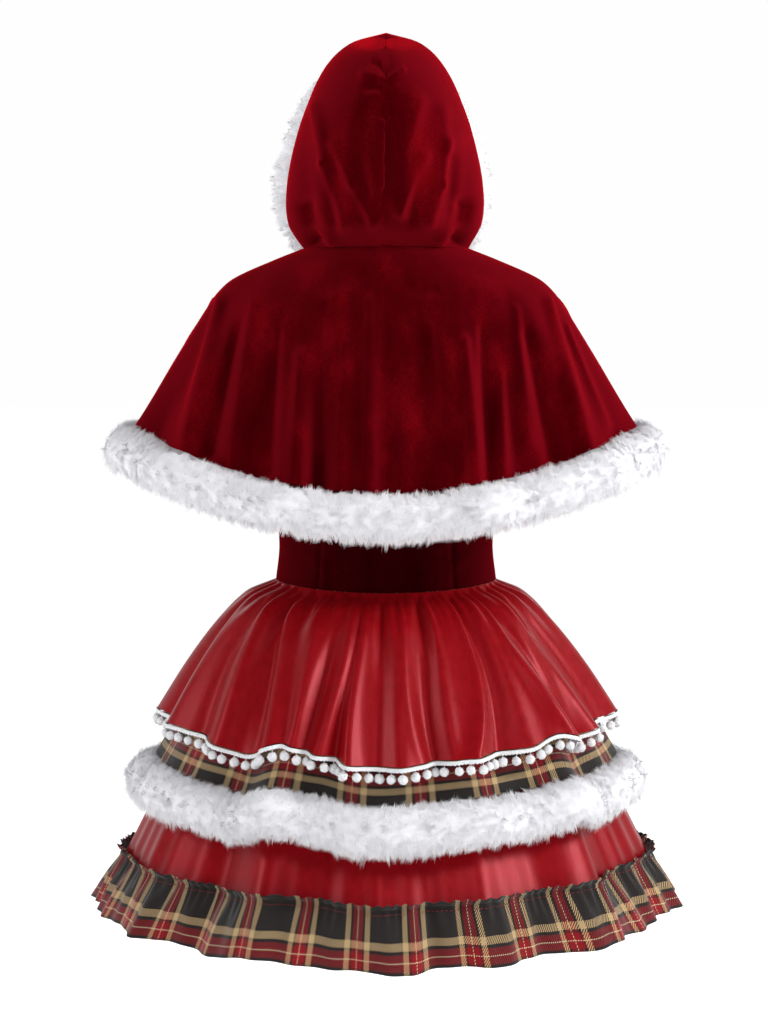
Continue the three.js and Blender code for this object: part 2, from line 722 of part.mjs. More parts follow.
garment.add(makeMesh('hood_left', hoodHalf(1), VELVET));
garment.add(makeMesh('hood_right', hoodHalf(-1), VELVET));
garment.add(makeMesh('hood_fur_trim', hoodFur(), WHITE_FUR));

garment.add(makeMesh('cape_back', capeBack(), VELVET));
garment.add(makeMesh('cape_front_left', capeFront(1), VELVET));
garment.add(makeMesh('cape_front_right', capeFront(-1), VELVET));
garment.add(makeMesh('cape_fur_trim', capeFur(), WHITE_FUR));

garment.add(makeMesh('bodice_back', bodicePanel(-PRINCESS_SEAM, PRINCESS_SEAM), VELVET));
garment.add(makeMesh('bodice_side_back_left', bodicePanel(PRINCESS_SEAM, 90), VELVET));
garment.add(makeMesh('bodice_side_back_right', bodicePanel(-90, -PRINCESS_SEAM), VELVET));
garment.add(makeMesh('bodice_front', bodicePanel(90, 270), VELVET));
garment.add(makeMesh('strap_left', strap(1), VELVET));
garment.add(makeMesh('strap_right', strap(-1), VELVET));

garment.add(makeMesh('top_tier_back', tierHalf(TOP_TIER, -90), SATIN));
garment.add(makeMesh('top_tier_front', tierHalf(TOP_TIER, 90), SATIN));
garment.add(makeMesh('pompom_trim', pompomTrim(), WHITE_BRAID));
garment.add(makeMesh('middle_tier_back', tierHalf(MIDDLE_TIER, -90), TARTAN));
garment.add(makeMesh('middle_tier_front', tierHalf(MIDDLE_TIER, 90), TARTAN));
garment.add(makeMesh('middle_fur_trim', middleFur(), WHITE_FUR));
garment.add(makeMesh('bottom_tier_back', tierHalf(BOTTOM_TIER, -90), SATIN));
garment.add(makeMesh('bottom_tier_front', tierHalf(BOTTOM_TIER, 90), SATIN));
garment.add(makeMesh('hem_ruffle', hemRuffle(), TARTAN));

export default garment;
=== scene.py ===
import math

import bpy
import numpy as np
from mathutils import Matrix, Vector


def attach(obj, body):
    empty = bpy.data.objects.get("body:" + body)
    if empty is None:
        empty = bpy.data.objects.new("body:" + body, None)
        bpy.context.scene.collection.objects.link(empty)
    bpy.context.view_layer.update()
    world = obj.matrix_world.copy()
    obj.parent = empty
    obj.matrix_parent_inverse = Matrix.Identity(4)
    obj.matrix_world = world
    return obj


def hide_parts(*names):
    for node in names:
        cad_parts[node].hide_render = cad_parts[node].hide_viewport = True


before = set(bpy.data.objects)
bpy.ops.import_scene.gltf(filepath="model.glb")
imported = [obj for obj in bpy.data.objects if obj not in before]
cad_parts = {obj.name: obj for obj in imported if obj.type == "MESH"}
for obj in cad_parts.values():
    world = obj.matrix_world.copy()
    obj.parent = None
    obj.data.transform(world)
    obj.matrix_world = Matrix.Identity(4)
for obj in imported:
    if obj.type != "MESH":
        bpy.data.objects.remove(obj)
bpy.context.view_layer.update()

# Studio
# A white floor far below the hanging clothes and a white surround. The camera stands behind
# the wearer, level with the shoulders. Soft boxes stand at both sides, high behind the camera
# and, weaker, at both sides of the front.
CAMERA_PLACE = (0, 3.2, 0)
CAMERA_AIM = (0, 0, -0.309)
CAMERA_LENS = 96.6
CAMERA_SENSOR = 36
CAMERA_SHIFT = -2 / 1024
FLOOR_SIZE = 40
FLOOR_HEIGHT = -1.35
# The floor's glow: where it begins and where it is full, in metres from the middle.
GLOW_BEGINS, GLOW_FULL = 0.9, 1.6
GLOW_STRENGTH = 0.85


def linear(hex_colour):
    """An sRGB hex colour as the linear colour that a shader takes."""
    channels = [int(hex_colour[i:i + 2], 16) / 255 for i in (1, 3, 5)]
    return tuple(c / 12.92 if c <= 0.04045 else ((c + 0.055) / 1.055) ** 2.4 for c in channels) + (1,)


def connect(owner, node, links):
    """Feeds a node's inputs from the sockets of other nodes."""
    for name, source in links.items():
        owner.node_tree.links.new(source, node.inputs[name])


def add_node(owner, kind, settings=None, values=None, links=None):
    """Adds a node with its settings, its inputs' values and the sockets that feed its inputs."""
    node = owner.node_tree.nodes.new("ShaderNode" + kind)
    for name, value in (settings or {}).items():
        setattr(node, name, value)
    for name, value in (values or {}).items():
        node.inputs[name].default_value = value
    connect(owner, node, links or {})
    return node


def add_noise(owner, place, scale, detail, roughness=0.5):
    """A cloudy pattern over a place, from 0 to 1."""
    values = {"Scale": scale, "Detail": detail, "Roughness": roughness}
    return add_node(owner, "TexNoise", values=values, links={"Vector": place}).outputs["Fac"]


def add_range(owner, source, values):
    """A value taken from one range, with ends 1 and 2, to another, with ends 3 and 4."""
    return add_node(owner, "MapRange", values=values, links={0: source}).outputs[0]


def add_ramp(owner, share, stops, interpolation="LINEAR"):
    """A colour ramp over a share from 0 to 1. Its stops are places and hex colours in order."""
    ramp = add_node(owner, "ValToRGB", links={"Fac": share})
    elements = ramp.color_ramp.elements
    ramp.color_ramp.interpolation = interpolation
    while len(elements) < len(stops):
        elements.new(1)
    for element, (place, colour) in zip(elements, stops):
        element.position = place
        element.color = linear(colour)
    return ramp.outputs["Color"]


def finish_material(name, values):
    """A new material, its Principled shader with these values, and its texture coordinates."""
    material = bpy.data.materials.new(name)
    material.use_nodes = True
    shader = material.node_tree.nodes["Principled BSDF"]
    for socket, value in values.items():
        shader.inputs[socket].default_value = value
    return material, shader, add_node(material, "TexCoord").outputs


def stand(name, data, place):
    """Stands a camera or a lamp in its place, turned to the clothes."""
    thing = bpy.data.objects.new(name, data)
    thing.location = place
    thing.rotation_euler = (Vector(CAMERA_AIM) - Vector(place)).to_track_quat("-Z", "Y").to_euler()
    bpy.context.scene.collection.objects.link(thing)
    return thing


for picked in bpy.context.selected_objects:
    picked.select_set(False)

bpy.ops.mesh.primitive_plane_add(size=FLOOR_SIZE, location=(0, 0, FLOOR_HEIGHT))
floor = bpy.context.object
floor.name = "studio_floor"
# Matt white painted floor with a faint cloudy unevenness, lit so that it goes into the surround.
floor_paint, floor_shader, floor_coords = finish_material(
    "matt_white_floor_paint", {"Roughness": 0.9, "Specular IOR Level": 0.1},
)
floor_clouds = add_noise(floor_paint, floor_coords["Object"], 0.6, 2)
floor_tint = add_ramp(floor_paint, floor_clouds, [(0.3, "#F4F4F5"), (0.7, "#FAFAFA")])
floor_distance = add_node(
    floor_paint, "VectorMath", {"operation": "LENGTH"}, links={0: floor_coords["Object"]},
).outputs["Value"]
floor_glow = add_range(
    floor_paint, floor_distance, {1: GLOW_BEGINS, 2: GLOW_FULL, 3: 0.0, 4: GLOW_STRENGTH},
)
connect(floor_paint, floor_shader, {
    "Base Color": floor_tint, "Emission Color": floor_tint, "Emission Strength": floor_glow,
})
floor.data.materials.append(floor_paint)

camera_data = bpy.data.cameras.new("photo_camera")
camera_data.sensor_fit = "VERTICAL"
camera_data.sensor_height = CAMERA_SENSOR
camera_data.lens = CAMERA_LENS
camera_data.shift_x = CAMERA_SHIFT
bpy.context.scene.camera = stand("photo_camera", camera_data, CAMERA_PLACE)
bpy.context.scene.view_settings.view_transform = "Standard"

# Soft boxes: name, place, size in metres and power in watts.
SOFT_BOXES = [
    ("side_left", (2.9, 0.75, 1.3), 0.9, 30),
    ("side_right", (-2.9, 0.8, 1.3), 0.9, 80),
    ("behind_camera", (-0.5, 3.0, 2.4), 0.9, 24),
    ("front_left", (1.9, -2.4, 1.6), 1.4, 16),
    ("front_right", (-1.9, -2.4, 1.6), 1.4, 16),
]
for name, place, size, power in SOFT_BOXES:
    light = bpy.data.lights.new(name, "AREA")
    light.shape = "SQUARE"
    light.size = size
    light.energy = power
    stand(name, light, place)

surround = bpy.data.worlds.new("white_surround")
surround.use_nodes = True
bpy.context.scene.world = surround
surround_place = add_node(surround, "TexCoord").outputs["Generated"]
surround_axes = add_node(surround, "SeparateXYZ", links={"Vector": surround_place}).outputs
surround_level = add_range(surround, surround_axes["Z"], {1: -1, 2: 1})
surround_tint = add_ramp(surround, surround_level, [(0.56, "#FEFEFE"), (0.68, "#7C7C7E")])
connect(surround, surround.node_tree.nodes["Background"], {"Color": surround_tint})

# Shoulder cape
# Dark red velvet, cut as a wide flare: a back and two fronts, sewn at the sides and to the
# hood's neck. It hangs in soft folds from the shoulders, and the fronts part below the neck.
MM = 0.001
VELVET_WALL = 1.8
SMOOTH_UNDER = 55
CAPE_RINGS = {
    "at": [0, 0.10, 0.24, 0.32, 0.40, 0.60, 0.80, 1],
    "side": [96, 129, 176, 195, 210, 244, 271, 291],
    "sideZ": [-2, -15, -36, -52, -73, -127, -172, -204],
    "back": [62, 76, 97, 108, 118, 143, 164, 181],
    "backZ": [0, -20, -60, -83, -106, -165, -221, -271],
    "front": [76, 92, 112, 122, 132, 153, 171, 186],
    "frontZ": [-26, -48, -84, -105, -126, -180, -232, -276],
}
CAPE_FRONT_GAP_AT_NECK = 5
CAPE_FRONT_GAP_AT_HEM = 26
# Folds down the cape: angle from the centre back, rise at the hem in mm, width in degrees.
CAPE_FOLDS = [
    (5, 4, 5), (22, 7, 5), (36, -4, 5), (52, 10, 6), (64, -4, 4), (76, 7, 5), (92, -3, 5), (108, 7, 8),
    (142, 8, 8), (-9, -3, 4), (-22, 8, 5), (-33, -4, 4), (-41, 4, 4), (-53, 10, 5), (-64, -4, 4),
    (-76, 6, 5), (-90, -3, 5), (-110, 7, 8), (-140, 7, 8), (125, -3, 6), (-125, -3, 6), (160, 3, 6),
]
# Creases: x and z of both ends, width and rise, all in mm. The front takes them mirrored and a
# little drawn in, and they fade out near the sides.
CAPE_CREASES = [
    (190, -62, 224, -222, 8.6, 10.3), (168, -90, 198, -228, 7.8, -9.4), (150, -60, 170, -230, 8.6, 6),
    (96, -120, 99, -262, 9.4, 8.6), (74, -92, 76, -262, 9.4, -7.8), (19, -59, 19, -270, 7, 5.2),
    (2, -60, 0, -265, 7.8, -4.4), (-88, -105, -101, -266, 8.6, 9.4), (-108, -90, -114, -256, 7, -7.8),
    (-128, -140, -128, -250, 7, 6.9), (-186, -62, -226, -226, 7.8, 10.3),
    (-206, -90, -248, -205, 6.2, 6.9), (-160, -100, -186, -234, 8.6, -9.4),
    (-48, -90, -56, -262, 10.1, 5.2), (46, -110, 50, -268, 8.6, 5.2),
    (122, -96, 132, -246, 7.8, -6.9), (-148, -70, -158, -220, 7, 4.4),
    (-60, -52, -30, -46, 6, -1.4), (40, -50, 70, -60, 7, 1.4), (-130, -58, -96, -40, 8, 1.4),
]
FRONT_DRAWN_IN = 0.93
CREASES_FADE_OVER = 25
# The cape's grid: rows, and columns of the back and of each front.
CAPE_ROWS = 74
BACK_COLUMNS, FRONT_COLUMNS = 220, 72
SIDE_SEAM = 0.02


def curve(table, column, at):
    """A smooth curve through one column of a table of rings."""
    place = np.array(table["at"], float)
    value = np.array(table[column], float)
    slope = np.gradient(value, place)
    slope[1:-1] = (value[2:] - value[:-2]) / (place[2:] - place[:-2])
    i = np.clip(np.searchsorted(place, at, side="right") - 1, 0, len(place) - 2)
    span = place[i + 1] - place[i]
    t = (at - place[i]) / span
    t2, t3 = t * t, t * t * t
    return (
        (2 * t3 - 3 * t2 + 1) * value[i] + (t3 - 2 * t2 + t) * span * slope[i]
        + (3 * t2 - 2 * t3) * value[i + 1] + (t3 - t2) * span * slope[i + 1]
    )


def bump(angle, centre, width):
    """A soft rise at one angle round the body, in degrees."""
    apart = (angle - centre + 180) % 360 - 180
    return np.exp(-(apart / width) ** 2)


def unit(vectors):
    """The same directions, each 1 long."""
    return vectors / np.maximum(np.linalg.norm(vectors, axis=-1, keepdims=True), 1e-9)


def outward(points):
    """The directions out of a grid of points that runs round the body and down it."""
    return unit(np.cross(np.gradient(points, axis=1), np.gradient(points, axis=0)))


def crease_rise(x, z, creases, growth):
    """How far creases raise the cloth at x and z. With a growth of 1 they grow down their length."""
    rise = np.zeros_like(x)
    for x1, z1, x2, z2, width, height in creases:
        dx, dz = x2 - x1, z2 - z1
        share = np.clip(((x - x1) * dx + (z - z1) * dz) / (dx * dx + dz * dz), 0, 1)
        apart = np.hypot(x - x1 - share * dx, z - z1 - share * dz)
        spread = width * (1 + growth * (0.7 * share - 0.35))
        rise += height * (1 + growth * (0.5 * share - 0.5)) * np.exp(-(apart / spread) ** 2)
    return rise


def creased(points, creases):
    """The grid with its listed creases: lines that the cloth rises or sinks along."""
    x, y, z = np.moveaxis(points, -1, 0)
    rise = crease_rise(np.where(y > 0, x, -FRONT_DRAWN_IN * x), z, creases, 1)
    level = np.clip(np.abs(y) / CREASES_FADE_OVER, 0, 1)
    return points + outward(points) * (rise * level)[..., None]


def place_mesh(name, points, quads, flat, material):
    """A mesh from an array of points in mm and one of quads, with the flat cut as its UV map."""
    mesh = bpy.data.meshes.new(name)
    mesh.from_pydata((points * MM).tolist(), [], quads.tolist())
    if flat is not None:
        layer = mesh.uv_layers.new(name="flat_cut")
        layer.data.foreach_set("uv", (flat * MM).astype(np.float32).ravel())
    mesh.materials.append(material)
    piece = bpy.data.objects.new(name, mesh)
    bpy.context.scene.collection.objects.link(piece)
    return piece


def cloth(name, points, flat, wall, material, closed=False, turned=False):
    """Cloth from a grid of points and the same grid on the flat cut, thickened inwards."""
    rows, columns = points.shape[:2]
    index = np.arange(rows * columns).reshape(rows, columns)
    if closed:
        index[:, -1] = index[:, 0]
    corners = [index[:-1, :-1], index[:-1, 1:], index[1:, 1:], index[1:, :-1]]
    flats = [flat[:-1, :-1], flat[:-1, 1:], flat[1:, 1:], flat[1:, :-1]]
    if turned:
        corners.reverse()
        flats.reverse()
    quads = np.stack(corners, axis=-1).reshape(-1, 4)
    flat_corners = np.stack(flats, axis=-2).reshape(-1, 2)
    piece = place_mesh(name, points.reshape(-1, 3), quads, flat_corners, material)
    bpy.context.view_layer.objects.active = piece
    piece.select_set(True)
    if closed:
        bpy.ops.object.mode_set(mode="EDIT")
        bpy.ops.mesh.select_mode(type="VERT")
        bpy.ops.mesh.select_all(action="SELECT")
        bpy.ops.mesh.delete_loose()
        bpy.ops.object.mode_set(mode="OBJECT")
    solidify = piece.modifiers.new("wall", "SOLIDIFY")
    solidify.thickness = wall * MM
    solidify.offset = -1
    bpy.ops.object.modifier_apply(modifier=solidify.name)
    bpy.ops.object.shade_smooth_by_angle(angle=math.radians(SMOOTH_UNDER))
    piece.select_set(False)
    return piece


def cut_piece(node, slot, points, flat, wall, material, **how):
    """One cut of cloth in place of its solid."""
    piece = cloth(f"{node}_{slot}", points, flat, wall, material, **how)
    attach(piece, "root")
    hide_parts(node)
    return piece


def cape_points(angle, at):
    """Points of the cape by angle from the centre back and by share of the way down."""
    turn = np.radians(angle)
    share = np.sin(turn) ** 2
    is_back = np.cos(turn) > 0
    rise = np.zeros_like(turn)
    for centre, height, width in CAPE_FOLDS:
        rise += height * bump(angle, centre, width) * np.maximum(at - 0.12, 0) ** 1.2
    reach = np.where(is_back, curve(CAPE_RINGS, "back", at), curve(CAPE_RINGS, "front", at))
    low = np.where(is_back, curve(CAPE_RINGS, "backZ", at), curve(CAPE_RINGS, "frontZ", at))
    return np.stack([
        (curve(CAPE_RINGS, "side", at) + rise) * np.sin(turn),
        (reach + rise) * np.cos(turn),
        share * curve(CAPE_RINGS, "sideZ", at) + (1 - share) * low + 0.25 * rise,
    ], axis=-1)


def cape_front_angle(at):
    """The angle of the front edge, so that the fronts part a little towards the hem."""
    gap = CAPE_FRONT_GAP_AT_NECK + (CAPE_FRONT_GAP_AT_HEM - CAPE_FRONT_GAP_AT_NECK) * at
    return 180 - np.degrees(np.arcsin(gap / 2 / curve(CAPE_RINGS, "side", at)))


def flat_grid(points):
    """The grid laid flat: distances along each row from its middle, and down each column."""
    along = np.linalg.norm(np.diff(points, axis=1), axis=-1)
    down = np.linalg.norm(np.diff(points, axis=0), axis=-1)
    u = np.concatenate([np.zeros((len(points), 1)), np.cumsum(along, axis=1)], axis=1)
    v = np.concatenate([np.zeros((1, points.shape[1])), np.cumsum(down, axis=0)], axis=0)
    return np.stack([u - u[:, -1:] / 2, -v], axis=-1)


def add_math(owner, operation, values=None, links=None):
    """The result of one step of arithmetic."""
    return add_node(owner, "Math", {"operation": operation}, values, links).outputs[0]


def add_mix(owner, share, links, values=None):
    """A colour between colours 6 and 7, by a share."""
    return add_node(owner, "Mix", {"data_type": "RGBA"}, values, {0: share, **links}).outputs[2]


def add_relief(owner, height, strength, distance):
    """The directions of a surface with a fine relief."""
    values = {"Strength": strength, "Distance": distance}
    return add_node(owner, "Bump", values=values, links={"Height": height}).outputs["Normal"]


def drawn_down(owner, place, share):
    """A place whose height counts less, so that a pattern over it runs long down the cloth."""
    mapping = add_node(owner, "Mapping", values={"Scale": (1, 1, share)}, links={"Vector": place})
    return mapping.outputs["Vector"]


def velvet_material(name, dark, middle, light, flank):
    """Silk-backed velvet: a dense upright pile that is dark face on and glows where it turns
    away, as on the flanks of folds, partly by the shader's sheen and partly by a painted sheen:
    a lighter colour mixed in where the surface faces away from the view. It has long brushed
    patches where the pile lies another way and a fine nap."""
    material, shader, coords = finish_material(name, {
        "Roughness": 0.8, "Specular IOR Level": 0.0,
        "Sheen Weight": 0.75, "Sheen Roughness": 0.24, "Sheen Tint": linear("#FF1420"),
    })
    crush = add_noise(material, drawn_down(material, coords["Object"], 0.22), 24, 5)
    nap = add_noise(material, coords["Object"], 520, 2, 0.6)
    pile = add_math(material, "MULTIPLY_ADD", {1: 0.4}, {0: nap, 2: crush})
    tint = add_ramp(material, pile, [(0.42, dark), (0.72, middle), (0.96, light)])
    relief = add_relief(material, pile, 0.4, 0.001)
    # Painted sheen: the colour turns towards the flank colour where the surface faces away from the view.
    weight = add_node(material, "LayerWeight", values={"Blend": 0.8}, links={"Normal": relief})
    painted_sheen_share = add_range(material, weight.outputs["Facing"], {1: 0.24, 2: 1.0})
    lit = add_mix(material, painted_sheen_share, {6: tint}, {7: linear(flank)})
    connect(material, shader, {"Base Color": lit, "Normal": relief})
    return material


# The last colour is the painted sheen on the flanks of folds.
cape_velvet = velvet_material("dark_red_velvet", "#320003", "#4A0107", "#6C040C", "#720914")


def cape_piece(node, first, last, columns):
    """One cut of the cape, between two edges whose angles may change down the cape."""
    at = np.linspace(0, 1, CAPE_ROWS)[:, None] * np.ones((1, columns))
    angle = first + (last - first) * np.linspace(0, 1, columns) + 0 * at
    points = creased(cape_points(angle, at), CAPE_CREASES)
    piece = cut_piece(node, "velvet", points, flat_grid(points), VELVET_WALL, cape_velvet)


front_edge = cape_front_angle(np.linspace(0, 1, CAPE_ROWS)[:, None])
cape_piece("cape_back", -90 + SIDE_SEAM, 90 - SIDE_SEAM, BACK_COLUMNS)
cape_piece("cape_front_left", 90 + SIDE_SEAM, front_edge, FRONT_COLUMNS)
cape_piece("cape_front_right", -front_edge, -90 - SIDE_SEAM, FRONT_COLUMNS)

# Hood
# Two halves of the same velvet, joined by a seam from the nape over the crown and sewn to the
# cape's neck. The seam pulls short creases, and soft ridges run down the sides to the neck.
HOOD_SECTIONS = {
    "at": [0, 0.14, 0.30, 0.50, 0.70, 0.85, 0.94, 1],
    "faceX": [26, 80, 105, 99, 78, 53, 30, 0],
    "faceY": [-73, -90, -97, -100, -102, -102, -101, -100],
    "faceZ": [-26, 4, 52, 106, 155, 188, 204, 211],
    "sideX": [96, 111, 114, 107, 92, 69, 40, 0],
    "sideY": [0, 6, 8, 4, 0, -6, -10, -12],
    "sideZ": [-1, 24, 58, 106, 156, 206, 234, 246],
    "backY": [62, 92, 113, 124, 119, 102, 86, 72],
    "backZ": [0, 26, 66, 116, 164, 198, 215, 224],
}
HOOD_NECK_END = 164
HOOD_FRONT_TURN = 5
SEAM = 0.3
# Creases and ridges, as on the cape. The last ones lie where the hood meets the neck.
HOOD_CREASES = [
    (80, 156, 68, 92, 6.7, 4.8), (68, 92, 48, 24, 6.7, 6), (58, 112, 36, 69, 6.7, 3.6),
    (36, 69, 15, 26, 6.7, 4.8), (-64, 152, -66, 110, 8, 3.6), (-67, 116, -61, 70, 6.7, 5.4),
    (-61, 70, -50, 28, 6.7, 6), (-42, 100, -16, 38, 6.7, 5.4), (-38, 160, -22, 112, 8, 3.6),
    (14, 205, 1, 201, 4.1, -3.6), (-18, 196, -2, 186, 4.1, 3.8), (24, 192, 3, 186, 5.4, 3.6),
    (20, 176, 2, 178, 5.4, -2.9), (14, 140, 2, 136, 4.1, 2.9), (-8, 140, -2, 136, 4.1, 2.4),
    (6, 120, 8, 70, 9.3, 2), (60, 84, 58, 30, 8, -4.8), (30, 96, 26, 34, 9.3, -3.6),
    (-34, 96, -30, 30, 8, -4.2), (-78, 96, -72, 30, 8, -4.8), (94, 120, 88, 50, 10.7, -3.6),
    (-96, 120, -90, 50, 10.7, -3.6), (94, 44, 80, 6, 9.3, -10.8), (-92, 44, -80, 6, 9.3, -10.8),
    (84, 18, 62, 6, 6.7, 4.8), (-84, 18, -62, 6, 6.7, 4.8),
]
# The back seam: how deep it pulls the cloth in and how far to each side, and its own sharp line.
SEAM_PULL, SEAM_PULL_REACH = 3.4, 6
SEAM_LINE, SEAM_LINE_REACH = 1.8, 1.3
HOOD_ROWS = 96
HOOD_COLUMNS = 88


def grid(down, across):
    """Two values at each point of a grid: one changes from row to row, one along the rows."""
    return np.meshgrid(down, across, indexing="ij")


def smooth_step(value, low, high):
    """A share that rises smoothly from 0 at low to 1 at high."""
    t = np.clip((value - low) / (high - low), 0, 1)
    return t * t * (3 - 2 * t)


def hood_points(side, u, v):
    """Points of one half: u runs from the back seam to the face edge, v up from the neck."""
    face, flank = {}, {}
    for axis in "XYZ":
        face[axis] = curve(HOOD_SECTIONS, "face" + axis, v)
        flank[axis] = curve(HOOD_SECTIONS, "side" + axis, v)
    back_y = curve(HOOD_SECTIONS, "backY", v)
    back_z = curve(HOOD_SECTIONS, "backZ", v)
    turn = np.pi * np.minimum(u, 0.5)
    t = np.maximum(u - 0.5, 0) * 2
    behind = u < 0.5
    x = np.where(behind, flank["X"] * np.sin(turn), flank["X"] + (face["X"] - flank["X"]) * t * t)
    y = np.where(
        behind, flank["Y"] + (back_y - flank["Y"]) * np.cos(turn),
        flank["Y"] + (face["Y"] - flank["Y"]) * t,
    )
    z = np.where(
        behind, flank["Z"] + (back_z - flank["Z"]) * np.cos(turn),
        flank["Z"] + (face["Z"] - flank["Z"]) * t * t * (3 - 2 * t),
    )
    neck = cape_points(HOOD_NECK_END * u, 0 * v)
    neck[..., 2] += SEAM + 0.1
    share = smooth_step(v, 0, 0.14)
    point = neck + (np.stack([x, y, z], axis=-1) - neck) * share[..., None]
    point[..., 0] += SEAM / 2
    lean = HOOD_FRONT_TURN * share * u * u * (1 - np.maximum(v - 0.85, 0) / 0.15)
    point[..., 0] = side * point[..., 0] + lean
    return point


for side, node in ((1, "hood_left"), (-1, "hood_right")):
    v, u = grid(np.linspace(1, 0, HOOD_ROWS), np.linspace(0, 1, HOOD_COLUMNS) ** 1.4)
    points = hood_points(side, u, v)
    x, y, z = np.moveaxis(points, -1, 0)
    rise = crease_rise(x, z, HOOD_CREASES, 0) * smooth_step(y, 0, 40)
    puckers = 0.75 + 0.25 * np.sin(z / 4.1) * np.sin(z / 9.7 + 1)
    pull = SEAM_PULL * puckers * np.exp(-(x / SEAM_PULL_REACH) ** 2)
    pull += SEAM_LINE * np.exp(-(x / SEAM_LINE_REACH) ** 2)
    held = smooth_step(v, 0, 0.06)
    shift = outward(points) * side * ((rise - pull * (y > 0)) * held)[..., None]
    shift[..., 0] *= smooth_step(np.abs(x), 0, 5)
    points = points + shift
    flat = flat_grid(points)
    piece = cut_piece(node, "velvet", points, flat, VELVET_WALL, cape_velvet, turned=side < 0)

# Tapes inside the hood's seam and round the neck
# Narrow strips of the velvet felled over the seams inside, as a maker binds raw edges. They
# close the seams from behind, and little of them shows.
TAPE_HALF = 5
TAPE_WALL = 0.8
TAPE_DEPTH = 2.4
ASIDE = np.array([-1.0, 0, 0])
UP = np.array([0, 0, 1.0])


def from_axis(angle):
    """The level directions away from the middle of the body."""
    turn = np.radians(angle)
    return np.stack([np.sin(turn), np.cos(turn), 0 * turn], axis=-1)


def travelled(line):
    """The distance along a line at each of its points."""
    return np.concatenate([[0], np.cumsum(np.linalg.norm(np.diff(line, axis=0), axis=-1))])


def seam_tape(name, line, out, across, depth=TAPE_DEPTH, closed=False):
    """A tape that follows a line, sunk below it along out and spread along across."""
    share = np.array([-1, -0.5, 0, 0.5, 1])[:, None, None]
    points = line[None] - out[None] * depth + across * share * TAPE_HALF
    piece = cloth(name, points, flat_grid(points), TAPE_WALL, cape_velvet, closed=closed)
    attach(piece, "root")


height = np.linspace(0.02, 0.995, 90)
line = hood_points(1, 0 * height, height)
line[:, 0] = 0
path = np.gradient(line, axis=0)
out = unit(np.stack([0 * height, path[:, 2], -path[:, 1]], axis=-1))
seam_tape("hood_seam_tape", line, out, ASIDE)

angle = np.linspace(-160, 160, 160)
seam_tape("neck_tape", cape_points(angle, 0 * angle), from_axis(angle), -UP)

# Fur round the hood and on the cape's hem
# Strips of long white faux fur, doubled round the edge of the velvet and felled inside. The
# pile hides the strip, stands out in soft tufts and hangs a little downwards.
HOOD_FUR = {"half": 21, "thick": 24, "starts_at": 0.08, "steps": 120}
CAPE_FUR = {"half": 27, "thick": 20, "steps": 300}
BAND_GAP = 0.7
ROLL_SIDES = 20
ROLL_CORE = 0.9
# The length of a puff between two partings, and of the rounding at an open band's ends.
FUR_PUFF = 46
FUR_END = 14
# The lie of the pile: out of the roll, away from its middle line, from each puff's top, and down.
LIE_OUT, LIE_AWAY, LIE_SPREAD, LIE_DOWN = 0.42, 0.75, 0.5, 0.16
STRANDS_IN_CLUMP = 12
STRAND_HALF = (0.28, 0.46)
# The fibre value of the core under the strands: painted shade in the depth of the pile.
CORE_PAINTED_SHADE = 0.34


def fur_material(name, shade, middle, light):
    """Acrylic fur pile: fine matt white fibres, with painted shade that makes it a little greyer in the
    depth between tufts and at the roots. A faint painted glow keeps its shadows pale."""
    # The emission is a painted glow that keeps the fibres' shadows pale.
    material, shader, coords = finish_material(name, {
        "Roughness": 0.95, "Specular IOR Level": 0.05, "Emission Strength": 0.05,
        "Emission Color": linear("#E4E4EA"),
    })
    fibre = add_node(material, "Attribute", {"attribute_name": "fibre"}).outputs["Fac"]
    tufts = add_noise(material, coords["Object"], 60, 4, 0.6)
    pile = add_math(material, "MULTIPLY_ADD", {1: 0.3}, {0: tufts, 2: fibre})
    tint = add_ramp(material, pile, [(0.15, shade), (0.5, middle), (0.9, light)])
    connect(material, shader, {"Base Color": tint})
    return material


white_fur = fur_material("white_faux_fur", "#C6C6CB", "#EEEEF1", "#FDFDFD")


